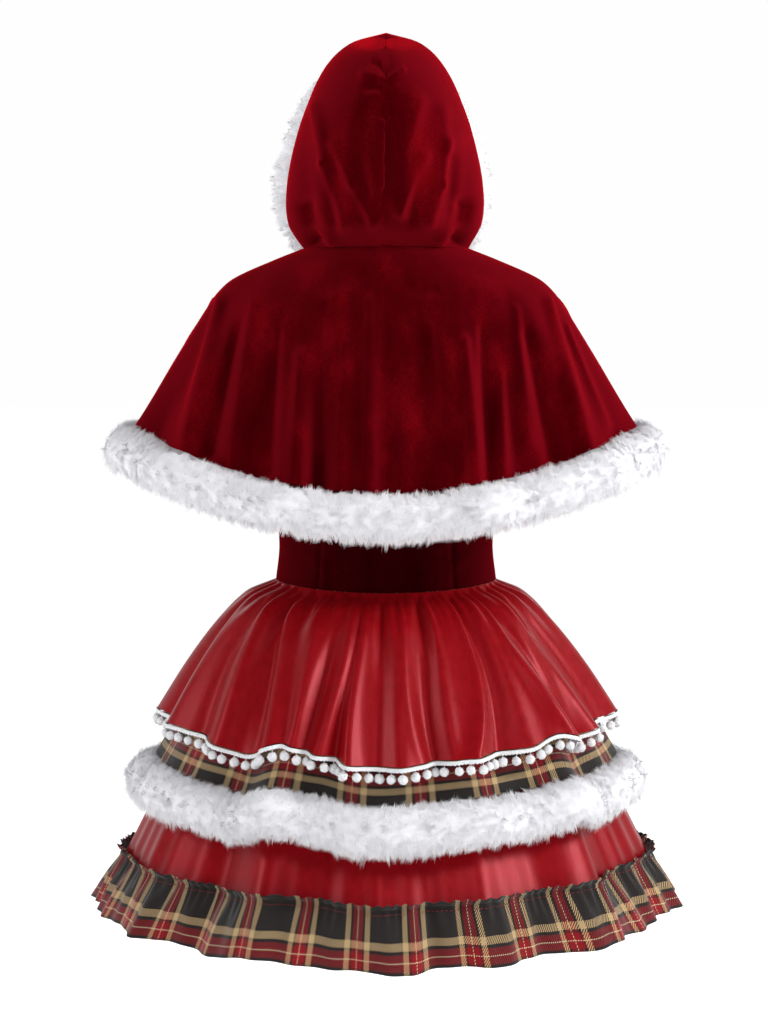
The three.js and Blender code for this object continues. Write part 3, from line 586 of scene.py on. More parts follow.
def fur_band(name, centre, along, across, strands, length, closed, seed):
    """A fur roll: an uneven core along a path, and strands in clumps that lean off it.
    along and across are the roll's two half axes at each point of the path."""
    draw = np.random.default_rng(seed)
    count = len(centre)
    spans = count if closed else count - 1
    turn = np.linspace(0, 2 * np.pi, ROLL_SIDES, endpoint=False)
    step = np.linalg.norm(centre[1] - centre[0])
    puffs = max(int(spans * step / FUR_PUFF), 4)
    partings = (np.arange(puffs) + draw.uniform(-0.35, 0.35, puffs)) * spans / puffs
    puff_swell = draw.uniform(-0.05, 0.07, puffs)
    twist = draw.uniform(-0.25, 0.25, puffs) * FUR_PUFF / step

    def puff_shape(place, angle):
        """How far the pile swells between two partings, and which way it is combed there."""
        swell = 0 * place
        comb = 0 * place
        for middle, size, lean in zip(partings, puff_swell, twist):
            apart = (place - middle - lean * np.sin(angle) + spans / 2) % spans - spans / 2
            share = apart * step / FUR_PUFF
            swell = swell + size * np.exp(-(share / 0.5) ** 2) - 0.06 * np.exp(-(share / 0.15) ** 2)
            comb = comb - share / 0.3 * np.exp(-(share / 0.3) ** 2)
        return swell, comb

    def core_scale(place, angle):
        """The core's share of the roll's size, rounded off at an open band's two ends."""
        to_end = np.clip(np.minimum(place, spans - place) * step / FUR_END, 0, 1)
        rounded = 1.0 if closed else np.sqrt(np.maximum(1 - (1 - to_end) ** 2, 0.02))
        return ROLL_CORE * (1 + puff_shape(place, angle)[0]) * rounded

    def at_path(values, place):
        i = np.floor(place).astype(int)
        share = (place - i)[..., None]
        return values[i % count] * (1 - share) + values[(i + 1) % count] * share

    def on_roll(place, angle):
        a, b = at_path(along, place), at_path(across, place)
        cos, sin = np.cos(angle)[..., None], np.sin(angle)[..., None]
        scale = core_scale(place, angle)[..., None]
        point = at_path(centre, place) + (cos * a + sin * b) * scale
        long_half = np.linalg.norm(a, axis=-1, keepdims=True)
        thick_half = np.linalg.norm(b, axis=-1, keepdims=True)
        return point, unit(cos * a / long_half * thick_half + sin * b / thick_half * long_half)

    places = np.arange(count, dtype=float)
    if not closed:
        places[-1] -= 1e-6
    ring_place, ring_turn = grid(places, turn)
    core, core_out = on_roll(ring_place, ring_turn)
    index = np.arange(count * ROLL_SIDES).reshape(count, ROLL_SIDES)
    after = np.roll(index, -1, axis=0)
    first, second = (index, after) if closed else (index[:-1], after[:-1])
    quads = np.stack([first, second, np.roll(second, -1, axis=1), np.roll(first, -1, axis=1)], axis=-1)
    faces = quads.reshape(-1, 4)
    if np.einsum("i,i", np.cross(core[0, 1] - core[0, 0], core[1, 0] - core[0, 0]), core_out[0, 0]) > 0:
        faces = faces[:, ::-1]
    triangles = np.concatenate([faces[:, [0, 1, 2]], faces[:, [0, 2, 3]]])
    if not closed:
        fan = np.arange(1, ROLL_SIDES - 1)
        start = np.stack([0 * fan, fan, fan + 1], axis=-1)
        end = start[:, ::-1] + (count - 1) * ROLL_SIDES
        caps = np.concatenate([start, end])
        side_a, side_b = core[0, 1] - core[0, 0], core[0, 2] - core[0, 0]
        if np.dot(np.cross(side_a, side_b), core[1, 0] - core[0, 0]) > 0:
            caps = caps[:, ::-1]
        triangles = np.concatenate([triangles, caps])

    def combed(place, angle, out):
        """The way the pile lies: away from the band's middle line and from each puff's top."""
        a, b = at_path(along, place), at_path(across, place)
        up = unit(-np.sin(angle)[:, None] * a + np.cos(angle)[:, None] * b)
        path_way = unit(at_path(np.roll(centre, -1, axis=0), place) - at_path(centre, place))
        away = np.clip((angle - np.pi / 2 + 0.25) / 0.7, -1, 1)[:, None]
        spread = puff_shape(place, angle)[1][:, None]
        return LIE_OUT * out + LIE_AWAY * away * up - LIE_SPREAD * spread * path_way - LIE_DOWN * UP

    clumps = strands // STRANDS_IN_CLUMP
    clump_place = draw.uniform(0, spans - 1e-6, clumps)
    clump_turn = draw.uniform(-np.pi * 0.45, np.pi * 1.45, clumps)
    clump_point, clump_out = on_roll(clump_place, clump_turn)
    clump_length = length * draw.uniform(0.8, 1.15, clumps)
    clump_lean = combed(clump_place, clump_turn, clump_out) + draw.normal(0, 0.2, (clumps, 3))
    clump_tip = clump_point + clump_lean * clump_length[:, None]

    owner = draw.integers(0, clumps, strands)
    place = np.clip(clump_place[owner] + draw.normal(0, 1.9 / step, strands), 0, spans - 1e-6)
    angle = clump_turn[owner] + draw.normal(0, 0.09, strands)
    root, out = on_roll(place, angle)
    reach = (clump_length[owner] * draw.uniform(0.8, 1.08, strands))[:, None]
    tip = root + (clump_lean[owner] + draw.normal(0, 0.06, (strands, 3))) * reach
    tip = tip * 0.85 + clump_tip[owner] * 0.15
    run = tip - root
    width = unit(np.cross(run, out + draw.normal(0, 0.08, (strands, 3))))
    width *= draw.uniform(*STRAND_HALF, strands)[:, None]
    facing = np.cross(width, run)
    width *= np.where(np.einsum("ij,ij->i", facing, out) < 0, -1, 1)[:, None]
    foot = root - 0.25 * run
    blades = np.stack([foot - width, foot + width, tip], axis=1)
    base = core.reshape(-1, 3)
    blade_faces = len(base) + 3 * np.arange(strands)[:, None] + np.array([[0, 1, 2]])
    points = np.concatenate([base, blades.reshape(-1, 3)])
    blade_out = np.repeat(out + 0.12 * clump_lean[owner], 3, axis=0)
    normals = unit(np.concatenate([core_out.reshape(-1, 3), blade_out]))
    piece = place_mesh(name, points, np.concatenate([triangles, blade_faces]), None, white_fur)
    piece.data.shade_smooth()
    piece.data.normals_split_custom_set_from_vertices(normals.tolist())
    # Each clump and strand has its own tone at random. Painted shade makes each strand's root darker than
    # its tip.
    own = 0.12 + 0.3 * draw.uniform(0, 1, clumps)[owner] + 0.25 * draw.uniform(0, 1, strands)
    root_to_tip = own[:, None] + np.array([[-0.12, -0.12, 0.12]])
    shade = np.concatenate([np.full(len(base), CORE_PAINTED_SHADE), root_to_tip.ravel()])
    fibre = piece.data.attributes.new("fibre", "FLOAT", "POINT")
    fibre.data.foreach_set("value", shade.astype(np.float32))
    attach(piece, "root")
    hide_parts(name + "_trim")


def band_path(points, wall, half, thick):
    """The path of a fur band under the last row of a grid, with its half axes."""
    out = outward(points)[-1]
    down = points[-1] - points[-6]
    down = unit(down - out * np.sum(down * out, axis=-1, keepdims=True))
    return points[-1] - out * wall / 2 + down * (half + BAND_GAP), down * half, out * thick


def hood_edge(t):
    """The hood's face edge, up the right half and down the left as t runs from -1 to 1."""
    height = 1 - np.abs(t) * (1 - HOOD_FUR["starts_at"])
    left = hood_points(1, 0 * t + 1, height)
    right = hood_points(-1, 0 * t + 1, height)
    return np.where(t[:, None] < 0, right, left)


t = np.linspace(-1, 1, HOOD_FUR["steps"])
forward = np.array([0, -1.0, 0])
path = hood_edge(np.minimum(t + 0.03, 1)) - hood_edge(np.maximum(t - 0.03, -1))
across = unit(np.cross(path, forward)) * HOOD_FUR["thick"]
along = forward * HOOD_FUR["half"] + 0 * across
fur_band(
    "hood_fur", hood_edge(t) + along + 0.5 * forward, along, across,
    strands=64000, length=9, closed=False, seed=11,
)

edge = float(cape_front_angle(np.array(1.0)))
at, angle = grid(np.linspace(0.9, 1, 12), np.linspace(-edge, edge, CAPE_FUR["steps"]))
band = band_path(cape_points(angle, at), VELVET_WALL, CAPE_FUR["half"], CAPE_FUR["thick"])
fur_band("cape_fur", *band, strands=152000, length=10, closed=False, seed=12)

# Bodice and shoulder straps
# The same velvet, cut close: a centre back, two side backs and a front. Its colours are the
# cape's made darker, as painted shade under the cape. Princess seams run down the back to a
# waist seam, and flat straps go up over the shoulders under the cape.
BODICE_RINGS = {
    "at": [0, 0.35, 0.65, 0.84, 1],
    "z": [-160, -235, -300, -348, -389],
    "side": [146, 141, 130, 125, 129],
    "back": [112, 108, 99, 95, 98],
    "front": [122, 124, 107, 97, 98],
}
PRINCESS_SEAM = 37
WAIST_DIP = 2.5
SEAM_SINK = 1.6
BODICE_CREASES = [
    (60, -352, 30, -360, 5, 1.2), (-66, -340, -30, -350, 6, 1.2), (96, -346, 70, -366, 5, 1.2),
    (-98, -350, -74, -368, 5, 1.4), (20, -372, -18, -370, 5, 0.9), (40, -330, 8, -334, 7, 0.8),
    (52, -384, 46, -352, 4, 1.0), (-50, -384, -44, -350, 4, 1.0), (-14, -384, -10, -352, 4, 0.8),
]
# A darker copy of the cape's velvet, as painted shade under the cape. The last colour is the painted
# sheen on the flanks of folds.
bodice_velvet_painted_shade = velvet_material("bodice_velvet_painted_shade", "#240002", "#300104", "#420207", "#56060E")


def bodice_points(angle, at):
    """Points of the bodice by angle from the centre back and by share of the way down."""
    turn = np.radians(angle)
    reach = np.where(np.cos(turn) > 0, curve(BODICE_RINGS, "back", at), curve(BODICE_RINGS, "front", at))
    return np.stack([
        curve(BODICE_RINGS, "side", at) * np.sin(turn),
        reach * np.cos(turn),
        curve(BODICE_RINGS, "z", at) - WAIST_DIP * np.cos(2 * turn) * at,
    ], axis=-1)


# Panels: node, first and last angle, columns, and the flat cut's width, length and area.
BODICE_PANELS = [
    ("bodice_back", -PRINCESS_SEAM, PRINCESS_SEAM, 48, 0.18, 0.236, 0.040),
    ("bodice_side_back_left", PRINCESS_SEAM, 90, 34, 0.11, 0.236, 0.024),
    ("bodice_side_back_right", -90, -PRINCESS_SEAM, 34, 0.11, 0.236, 0.024),
    ("bodice_front", 90, 270, 90, 0.43, 0.236, 0.090),
]
BODICE_ROWS = 56
PANEL_GAP = 0.08
for node, first, last, columns, flat_width, flat_length, flat_area in BODICE_PANELS:
    angles = np.linspace(first + PANEL_GAP, last - PANEL_GAP, columns)
    at, angle = grid(np.linspace(0, 1, BODICE_ROWS), angles)
    points = creased(bodice_points(angle, at), BODICE_CREASES)
    to_edge = np.minimum(angle - first, last - angle)
    sink = SEAM_SINK * np.exp(-(to_edge / 1.6) ** 2) * (0.8 + 0.2 * np.sin(at * 61))
    points -= outward(points) * sink[..., None]
    piece = cut_piece(node, "velvet", points, flat_grid(points), VELVET_WALL, bodice_velvet_painted_shade)

angle = np.linspace(0, 360, 181)
line = bodice_points(angle, 0 * angle + 1)
seam_tape("waist_stay_tape", line, from_axis(angle), -UP, depth=2.6, closed=True)

# The straps take the bodice's velvet, with its painted shade.
for node in ("strap_left", "strap_right"):
    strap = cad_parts[node]
    strap.data.materials.clear()
    strap.data.materials.append(bodice_velvet_painted_shade)

# Satin top tier
# Red polyester satin, cut wide and gathered into the waist seam, so that it puffs out in deep
# uneven folds over the tier below. It is hemmed with a white braid.
WAIST_Z = -389.5
SKIRT_DEPTH = 380
SATIN_WALL = 1.2
# Folds through every tier: angle, drift to the hem, rise at full depth, width, hem lift.
SKIRT_FOLDS = [
    (30, -4, 20, 6, 15), (42, -4, -17, 6, -7), (18, -2, -7, 6, 7), (2, 0, 13, 9, -3), (-22, 1, 8, 7, 3),
    (-36, 3, -7, 6, 2), (-50, 4, 20, 6, 11), (-62, 4, -16, 6, -6), (64, 0, 8, 8, 4), (86, 0, 6, 7, 3),
    (-84, 0, 8, 8, 4), (108, 0, -14, 9, -2), (130, 2, 13, 7, 6), (151, 2, -8, 7, 0), (174, 0, 12, 9, 4),
    (-154, 0, -7, 7, 0), (-132, -2, 12, 7, 6), (-108, -2, -14, 9, -2),
]
TOP_TIER = {
    "at": [0, 0.10, 0.30, 0.62, 1],
    "side": [129, 158, 187, 222, 257],
    "back": [98, 132, 166, 206, 248],
    "front": [98, 130, 163, 203, 245],
}
TOP_HEM = {"z": -540, "drop": 20, "lift": 1.0}
# Hollows of the gathers at the back waist: angle, width in degrees, depth in mm, and how far
# down they reach as a share of the tier.
WAIST_HOLLOWS = [
    (78, 3.0, 7, 0.16), (68, 2.6, 6, 0.12), (57, 2.4, 5, 0.20), (50, 2.0, 4, 0.10),
    (44.2, 2.6, 8, 0.24), (34.4, 2.6, 7, 0.15), (29, 1.8, 3, 0.10), (25.1, 1.6, 6, 0.13),
    (22.8, 1.6, 5, 0.22), (16, 1.8, 4, 0.10), (10.2, 1.8, 7, 0.20), (6.6, 1.4, 5, 0.12),
    (1.5, 1.9, 7, 0.22), (-4, 1.7, 6, 0.14), (-7.6, 1.4, 4, 0.10), (-14.3, 1.9, 7, 0.24),
    (-19.6, 1.6, 6, 0.13), (-22.3, 1.4, 4, 0.10), (-26, 1.6, 3, 0.12), (-30.8, 1.9, 7, 0.20),
    (-35, 1.7, 5, 0.12), (-40.8, 1.9, 6, 0.16), (-44.9, 1.8, 6, 0.20), (-52, 2.2, 4, 0.10),
    (-58.9, 2.6, 8, 0.22), (-66, 2.2, 5, 0.12), (-74, 2.8, 6, 0.16), (-84, 2.8, 6, 0.14),
    (87, 2.4, 5, 0.12),
]
GATHER_DEPTH = 1.8
# The top tier puffs out under the waist and flares to its hem, both in mm. It stays outside the
# tier under it, which widens from the waist until this share of its way down.
TOP_PUFF = 5
TOP_FLARE = 3
UNDER_TIER = {"waist": 129, "widens": 75, "until": 0.45, "hem": -600}
# Ridges and valleys of the top tier: angle at the waist, half way down and at the hem, width
# in degrees, and how far out or in at the hem, in mm.
TOP_FOLDS = [
    (54.5, 48.2, 45, 4.2, 11), (49.2, 38.6, 33.5, 3.0, -11), (43, 34, 29.6, 3.4, 8),
    (34, 29, 25.5, 3.0, -8), (24.9, 22.7, 22.5, 2.6, 10), (18.3, 18.8, 20.2, 2.4, -10),
    (9.9, 13.1, 16.7, 2.4, 12), (8.2, 11, 12.5, 1.7, -10), (6.6, 9.4, 8.8, 2.2, 11),
    (0.4, 1.2, 2, 4.2, -10), (-4.5, -3, -3.5, 3.4, 9), (-7.8, -5.8, -9.5, 2.0, 5),
    (-14, -11.5, -11.8, 3.2, -12), (-19, -16.5, -16.5, 2.4, 6), (-27.2, -28.1, -21.4, 2.6, 11),
    (-31, -32.3, -29.2, 3.0, -10), (-37, -38, -38, 3.4, 6), (-42.2, -44.2, -51.1, 3.0, 11),
    (-46.8, -49.6, -57, 2.6, -11), (-52.5, -59, -64.5, 3.4, 10), (-62, -68, -72, 3.6, -9),
    (-76, -80, -82, 4.4, 8), (62, 58, 54, 3.4, -9), (70, 68, 66, 4.2, 9), (80, 78, 77, 3.6, -8),
    (88, 88, 88, 4.4, 6),
]


def skirt_fold(angle, z):
    """How far the skirt's main folds stand out at one height."""
    share = np.clip((WAIST_Z - z) / SKIRT_DEPTH, 0, 1)
    rise = np.zeros_like(share)
    for centre, drift, height, width, _ in SKIRT_FOLDS:
        rise += height * bump(angle, centre + drift * share, width)
    return rise * share ** 0.9


def hem_lift(angle):
    """How far the main folds lift a hem."""
    return sum(lift * bump(angle, centre + drift, width) for centre, drift, _, width, lift in SKIRT_FOLDS)


def waist_gather(angle, at):
    """How deep the gathers at the waist are. The hidden front has the back's, drawn apart."""
    gather = np.zeros_like(angle)
    for centre, width, depth, reach in WAIST_HOLLOWS:
        front = 180 - 0.94 * centre + 3
        fade = np.minimum(at / 0.02, 1) * np.exp(-(at / (1.5 * reach)) ** 2)
        gather -= depth * fade * (bump(angle, centre, width) + bump(angle, front, width * 1.1))
    return gather


def top_folds(angle, at):
    """How far the top tier's own folds stand out. The hidden front has the back's, turned."""
    rise = np.zeros_like(angle)
    for waist, middle, low, width, height in TOP_FOLDS:
        centre = waist * (1 - at) * (1 - 2 * at) + middle * 4 * at * (1 - at) + low * at * (2 * at - 1)
        front = 180 - 0.95 * centre + 2.5
        rise += height * (bump(angle, centre, width) + bump(angle, front, width * 1.1))
    return rise * np.minimum(at / 0.12, 1) * (0.5 + 0.5 * at)


def tier_points(rings, hem, angle, at, gathers=0.0):
    """Points of a skirt tier by angle from the centre back and by share of the way down."""
    turn = np.radians(angle)
    top = WAIST_Z - SEAM - WAIST_DIP * np.cos(2 * turn)
    low = hem["z"] - hem["drop"] * np.cos(turn) ** 2 + hem["lift"] * hem_lift(angle)
    z = top + (low - top) * at
    reach = np.where(np.cos(turn) > 0, curve(rings, "back", at), curve(rings, "front", at))
    rise = skirt_fold(angle, z) * np.minimum(at / 0.2, 1)
    if gathers:
        puff = TOP_PUFF * np.minimum(at / 0.08, 1) * (1 - at)
        rise += puff + gathers * waist_gather(angle, at) + top_folds(angle, at) + TOP_FLARE * at
        under = (WAIST_Z - z) / (WAIST_Z - UNDER_TIER["hem"]) / UNDER_TIER["until"]
        least = UNDER_TIER["waist"] + UNDER_TIER["widens"] * np.minimum(under, 1)
        rise = np.maximum(rise, least - curve(rings, "side", at))
    return np.stack([
        (curve(rings, "side", at) + rise) * np.sin(turn),
        (reach + rise) * np.cos(turn),
        z,
    ], axis=-1)


def half_round(shares, first, columns):
    """Shares of the way down and angles from one side seam round to the other."""
    return grid(shares, np.linspace(first + SIDE_SEAM, first + 180 - SIDE_SEAM, columns))


def satin_material(name, dark, light):
    """Polyester satin: a smooth close weave of long floats, with soft bright streaks of light
    along the folds and faint puckers along the thread."""
    material, shader, coords = finish_material(name, {
        "Specular IOR Level": 0.38, "Specular Tint": linear("#FF747E"), "Anisotropic": 0.35,
    })
    puckers = add_noise(material, drawn_down(material, coords["Object"], 0.16), 150, 3)
    connect(material, shader, {
        "Base Color": add_ramp(material, puckers, [(0.3, dark), (0.7, light)]),
        "Roughness": add_range(material, puckers, {3: 0.29, 4: 0.4}),
        "Normal": add_relief(material, puckers, 0.12, 0.0015),
    })
    return material


red_satin = satin_material("red_satin", "#84080F", "#920A14")

TOP_ROWS = 50
for node, first, columns in (("top_tier_back", -90, 380), ("top_tier_front", 90, 180)):
    at, angle = half_round(np.linspace(0, 1, TOP_ROWS) ** 1.3, first, columns)
    points = tier_points(TOP_TIER, TOP_HEM, angle, at, gathers=GATHER_DEPTH)
    piece = cut_piece(node, "satin", points, flat_grid(points), SATIN_WALL, red_satin)

# Pom-pom braid
# A narrow white cotton braid with a picot lower edge, sewn on the satin's hem. Small yarn
# pom-poms hang from it on short threads, about 12 mm apart.
BRAID_HEIGHT = 5
BRAID_WALL = 2
BRAID_START = SEAM + SATIN_WALL
BRAID_COLUMNS = 1440
PICOT_PITCH = 4
# The braid's section: share of its thickness, place below its start, and rise of the picots.
BRAID_SECTION = [
    (0.4, 0, 0), (1.0, 0.3, 0), (1.0, -2.2, 0), (1.3, -3.2, 0.2), (0.9, -BRAID_HEIGHT, 1.2),
    (0.3, -4.4, 0.8), (0.2, -2, 0),
]
POMPOMS = 128
POMPOM_RADIUS = 6.0
POMPOM_DROP = 1.6
POMPOM_TUFTS = 60
TUFT_HALF = 0.8
CORD_HALF = 0.5
# The corners of a triangle with its middle at 0, which tufts and cords have as their section.
TRIANGLE = np.array([(1, 0), (-0.5, 0.87), (-0.5, -0.87)])

white_yarn, yarn_shader, yarn_coords = finish_material("white_cotton_yarn", {
    "Roughness": 0.9, "Specular IOR Level": 0.2, "Sheen Weight": 0.2, "Sheen Roughness": 0.5,
})
# Matt cotton yarn: fine ply lines that read as a soft speckle of grey and white.
yarn_ply = add_noise(white_yarn, yarn_coords["Object"], 700, 2)
connect(white_yarn, yarn_shader, {
    "Base Color": add_ramp(white_yarn, yarn_ply, [(0.35, "#D8D8DC"), (0.6, "#F6F6F7")]),
    "Normal": add_relief(white_yarn, yarn_ply, 0.4, 0.0006),
})


def along_line(place, travel, values):
    """Values of a line's points, taken at other distances along it."""
    return np.stack([np.interp(place, travel, column) for column in values.T], axis=-1)


at, angle = grid(np.linspace(0.9, 1, 6), np.linspace(0, 360, BRAID_COLUMNS + 1))
hem = tier_points(TOP_TIER, TOP_HEM, angle, at, gathers=GATHER_DEPTH)
hem_out = unit(outward(hem)[-1] * np.array([1, 1, 0]))
hem_line = hem[-1]
travel = travelled(hem_line)
picot = 0.5 + 0.5 * np.cos(2 * np.pi * travel / PICOT_PITCH)
ring = np.stack([
    hem_line + hem_out * (out * BRAID_WALL) + UP * (drop - BRAID_START + scallop * picot)[:, None]
    for out, drop, scallop in BRAID_SECTION
], axis=0)[:, :-1]
index = np.arange(len(BRAID_SECTION) * BRAID_COLUMNS).reshape(-1, BRAID_COLUMNS)
below, beside = np.roll(index, -1, axis=0), np.roll(index, -1, axis=1)
braid_quads = np.stack([index, beside, np.roll(below, -1, axis=1), below], axis=-1).reshape(-1, 4)
braid = place_mesh("picot_braid", ring.reshape(-1, 3), braid_quads, None, white_yarn)
braid.data.shade_smooth()
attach(braid, "root")

draw = np.random.default_rng(7)
bpy.ops.mesh.primitive_ico_sphere_add(subdivisions=2, radius=1)
ball = bpy.context.object
ball_points = np.array([v.co[:] for v in ball.data.vertices])
ball_faces = np.array([p.vertices[:] for p in ball.data.polygons])
bpy.data.objects.remove(ball, do_unlink=True)
tuft_faces = np.array([[0, 1, 3], [1, 2, 3], [2, 0, 3]])
cord_faces = np.array([[0, 3, 4], [0, 4, 1], [1, 4, 5], [1, 5, 2], [2, 5, 3], [2, 3, 0]])
parts, faces, offset = [], [], 0
for k in range(POMPOMS):
    place = (k + 0.5 + draw.uniform(-0.12, 0.12)) * travel[-1] / POMPOMS
    hang = along_line(place, travel, hem_line)
    away = along_line(place, travel, hem_out)
    radius = POMPOM_RADIUS * draw.uniform(0.92, 1.05)
    drop = BRAID_START + BRAID_HEIGHT + POMPOM_DROP + draw.uniform(-0.4, 0.4)
    centre = hang + away * (1.4 + draw.uniform(-0.3, 0.6)) - UP * (drop + radius * 0.9)
    core = ball_points * radius * 0.88
    core = core * (1 + 0.1 * np.sin(core[:, :1] * 3 + k) * np.sin(core[:, 2:] * 3 + 2 * k))
    aim = unit(draw.normal(0, 1, (POMPOM_TUFTS, 3)))
    side_a = unit(np.cross(aim, draw.normal(0, 1, (POMPOM_TUFTS, 3))))
    side_b = np.cross(aim, side_a)
    foot = centre + aim * radius * 0.78
    tip = centre + aim * radius * draw.uniform(0.96, 1.06, (POMPOM_TUFTS, 1))
    corners = [foot + (a * side_a + b * side_b) * TUFT_HALF for a, b in TRIANGLE]
    cord_top = hang + away * 1.4 - UP * (BRAID_START + BRAID_HEIGHT - 1)
    rim = TRIANGLE @ np.array([away, np.cross(away, UP)]) * CORD_HALF
    tufts = np.stack([*corners, tip], axis=1).reshape(-1, 3)
    tuft_starts = 4 * np.arange(POMPOM_TUFTS)[:, None, None]
    for part, part_faces in (
        (centre + core, ball_faces), (tufts, (tuft_starts + tuft_faces).reshape(-1, 3)),
        (np.concatenate([cord_top + rim, centre + rim]), cord_faces),
    ):
        parts.append(part)
        faces.append(part_faces + offset)
        offset += len(part)
pompoms = place_mesh("pompoms", np.concatenate(parts), np.concatenate(faces), None, white_yarn)
pompoms.data.shade_smooth()
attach(pompoms, "root")
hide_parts("pompom_trim")

# Tartan middle tier
# A twill-woven tartan of charcoal, cream and red threads, which blend where they cross. It is
# gathered into the waist under the satin and ends in a wide band of the same faux fur.
TARTAN_WALL = 1.4
TARTAN_REPEAT = 82
# The sett over one repeat: where each stripe starts, in mm, and its thread.
SETT = [
    (0, "#231E1C"), (22.5, "#C2A478"), (30.0, "#231E1C"), (33.0, "#920E19"), (40.2, "#DECDA6"),
    (41.3, "#920E19"), (48.0, "#231E1C"), (51.0, "#C2A478"), (58.5, "#231E1C"),
]
TWILL_PITCH = 3.0
MIDDLE_TIER = {
    "at": [0, 0.45, 1], "side": [127.2, 202, 267], "back": [96.2, 178, 247], "front": [96.2, 175, 244],
}
MIDDLE_HEM = {"z": -592, "drop": 13, "lift": 0.8}
MIDDLE_FUR = {"half": 28, "thick": 20, "steps": 361}
# The tier's cut laid flat, in mm: its width all round and its depth.
MIDDLE_FLAT = (1804, 240)
MIDDLE_ROWS, MIDDLE_COLUMNS = 36, 150


def stripes(material, axis, start):
    """The sett along one direction of the flat cut, with its first stripe moved by start mm."""
    scale = {1: 1 / (TARTAN_REPEAT * MM), 2: start / TARTAN_REPEAT + 100}
    repeats = add_math(material, "MULTIPLY_ADD", scale, {0: axis})
    share = add_math(material, "FRACT", links={0: repeats})
    stops = [(place / TARTAN_REPEAT, thread) for place, thread in SETT]
    return add_ramp(material, share, stops, "CONSTANT")


def tartan_material(name, down_start):
    """Brushed cotton twill: threads go over two and under two, so each stripe is a fine
    diagonal mix of both its threads. The twill is drawn as coarse as it needs to show."""
    material, shader, coords = finish_material(name, {
        "Roughness": 0.85, "Specular IOR Level": 0.2, "Sheen Weight": 0.2, "Sheen Roughness": 0.5,
    })
    axes = add_node(material, "SeparateXYZ", links={"Vector": coords["UV"]}).outputs
    across = stripes(material, axes["X"], 0)
    down = stripes(material, axes["Y"], down_start)
    diagonal = add_math(material, "ADD", links={0: axes["X"], 1: axes["Y"]})
    waves = add_math(material, "MULTIPLY", {1: 2 * math.pi / (TWILL_PITCH * MM)}, {0: diagonal})
    twill = add_math(material, "SINE", links={0: waves})
    over = add_range(material, twill, {1: -0.25, 2: 0.25, 3: 0.0, 4: 1.0})
    blend = add_mix(material, over, {6: across, 7: down})
    wear = add_range(material, add_noise(material, coords["Object"], 260, 3), {3: 0.78, 4: 1.12})
    worn = add_node(material, "HueSaturation", links={"Value": wear, "Color": blend})
    relief = add_relief(material, twill, 0.3, 0.0006)
    connect(material, shader, {"Base Color": worn.outputs["Color"], "Normal": relief})
    return material


middle_tartan = tartan_material("tartan_twill_middle_tier", 4)
for node, first in (("middle_tier_back", -90), ("middle_tier_front", 90)):
    at, angle = half_round(np.linspace(0, 1, MIDDLE_ROWS), first, MIDDLE_COLUMNS)
    points = tier_points(MIDDLE_TIER, MIDDLE_HEM, angle, at)
    flat = np.stack([angle / 360 * MIDDLE_FLAT[0], -at * MIDDLE_FLAT[1]], axis=-1)
    piece = cut_piece(node, "tartan", points, flat, TARTAN_WALL, middle_tartan)

at, angle = grid(np.linspace(0.9, 1, 12), np.linspace(0, 360, MIDDLE_FUR["steps"]))
hem = tier_points(MIDDLE_TIER, MIDDLE_HEM, angle, at)
band = [part[:-1] for part in band_path(hem, TARTAN_WALL, MIDDLE_FUR["half"], MIDDLE_FUR["thick"])]
fur_band("middle_fur", *band, strands=150000, length=10, closed=True, seed=13)

# Satin bottom tier
# The same red satin, hanging from the waist under the tartan. It shows between the fur and
# the ruffle, in long soft folds.
BOTTOM_TIER = {
    "at": [0, 0.40, 0.75, 1], "side": [125.2, 211, 262, 300], "back": [94.2, 186, 228, 272],
    "front": [94.2, 183, 225, 269],
}
BOTTOM_HEM = {"z": -709, "drop": 9, "lift": 0.3}
BOTTOM_WAVES, BOTTOM_WAVE_RISE = 18, 3
BOTTOM_RIPPLES, BOTTOM_RIPPLE_RISE = 43, 1.6
BOTTOM_ROWS = 40


def bottom_points(angle, at):
    """Points of the bottom tier, with its own slow waves towards the hem."""
    turn = np.radians(angle)
    points = tier_points(BOTTOM_TIER, BOTTOM_HEM, angle, at)
    wave = BOTTOM_WAVE_RISE * at * (1 + np.cos(BOTTOM_WAVES * turn + 1.2 * np.sin(2 * turn))) / 2
    wave += BOTTOM_RIPPLE_RISE * at ** 2 * np.sin(BOTTOM_RIPPLES * turn + 2 * np.sin(5 * turn))
    return points + from_axis(angle) * wave[..., None]


for node, first, columns in (("bottom_tier_back", -90, 200), ("bottom_tier_front", 90, 110)):
    at, angle = half_round(np.linspace(0, 1, BOTTOM_ROWS), first, columns)
    points = bottom_points(angle, at)
    piece = cut_piece(node, "satin", points, flat_grid(points), SATIN_WALL, red_satin)

# Tartan hem ruffle
# A strip of the same tartan, gathered by a line of dark red stitches a little under its top
# edge and sewn to the bottom tier's hem, so that a small heading stands over the line.
RUFFLE_ROWS = {
    "at": [0, 0.33, 0.66, 1], "over": [10, 0, -25, -55], "out": [2, 0, 13, 28],
    "gather": [3.5, 0, 4.5, 3], "wave": [0, 0, 6, 14],
}
# Fine pleats at the gathering line, gathers under it and slow waves to the hem: how many.
RUFFLE_PLEATS, RUFFLE_GATHERS, RUFFLE_WAVES = 150, 60, 19
PLEAT_DEPTH = 2.4
# Places of the fine pleats down the strip, their reach, and how much less the upper ones have.
PLEATS_LOW, PLEATS_HIGH, PLEATS_REACH, PLEATS_HIGH_SHARE = 0.4, 0.06, 0.16, 0.9
EDGE_UNEVEN = 1.3
RUFFLE_LAP = 0.4
RUFFLE_CLEARANCE = 2
RUFFLE_FLAT_ROUND = 2706
RUFFLE_HEADING = 12
RUFFLE_SETT_DRAWN = 0.82
RUFFLE_ROWS_DOWN, RUFFLE_COLUMNS = 20, 961


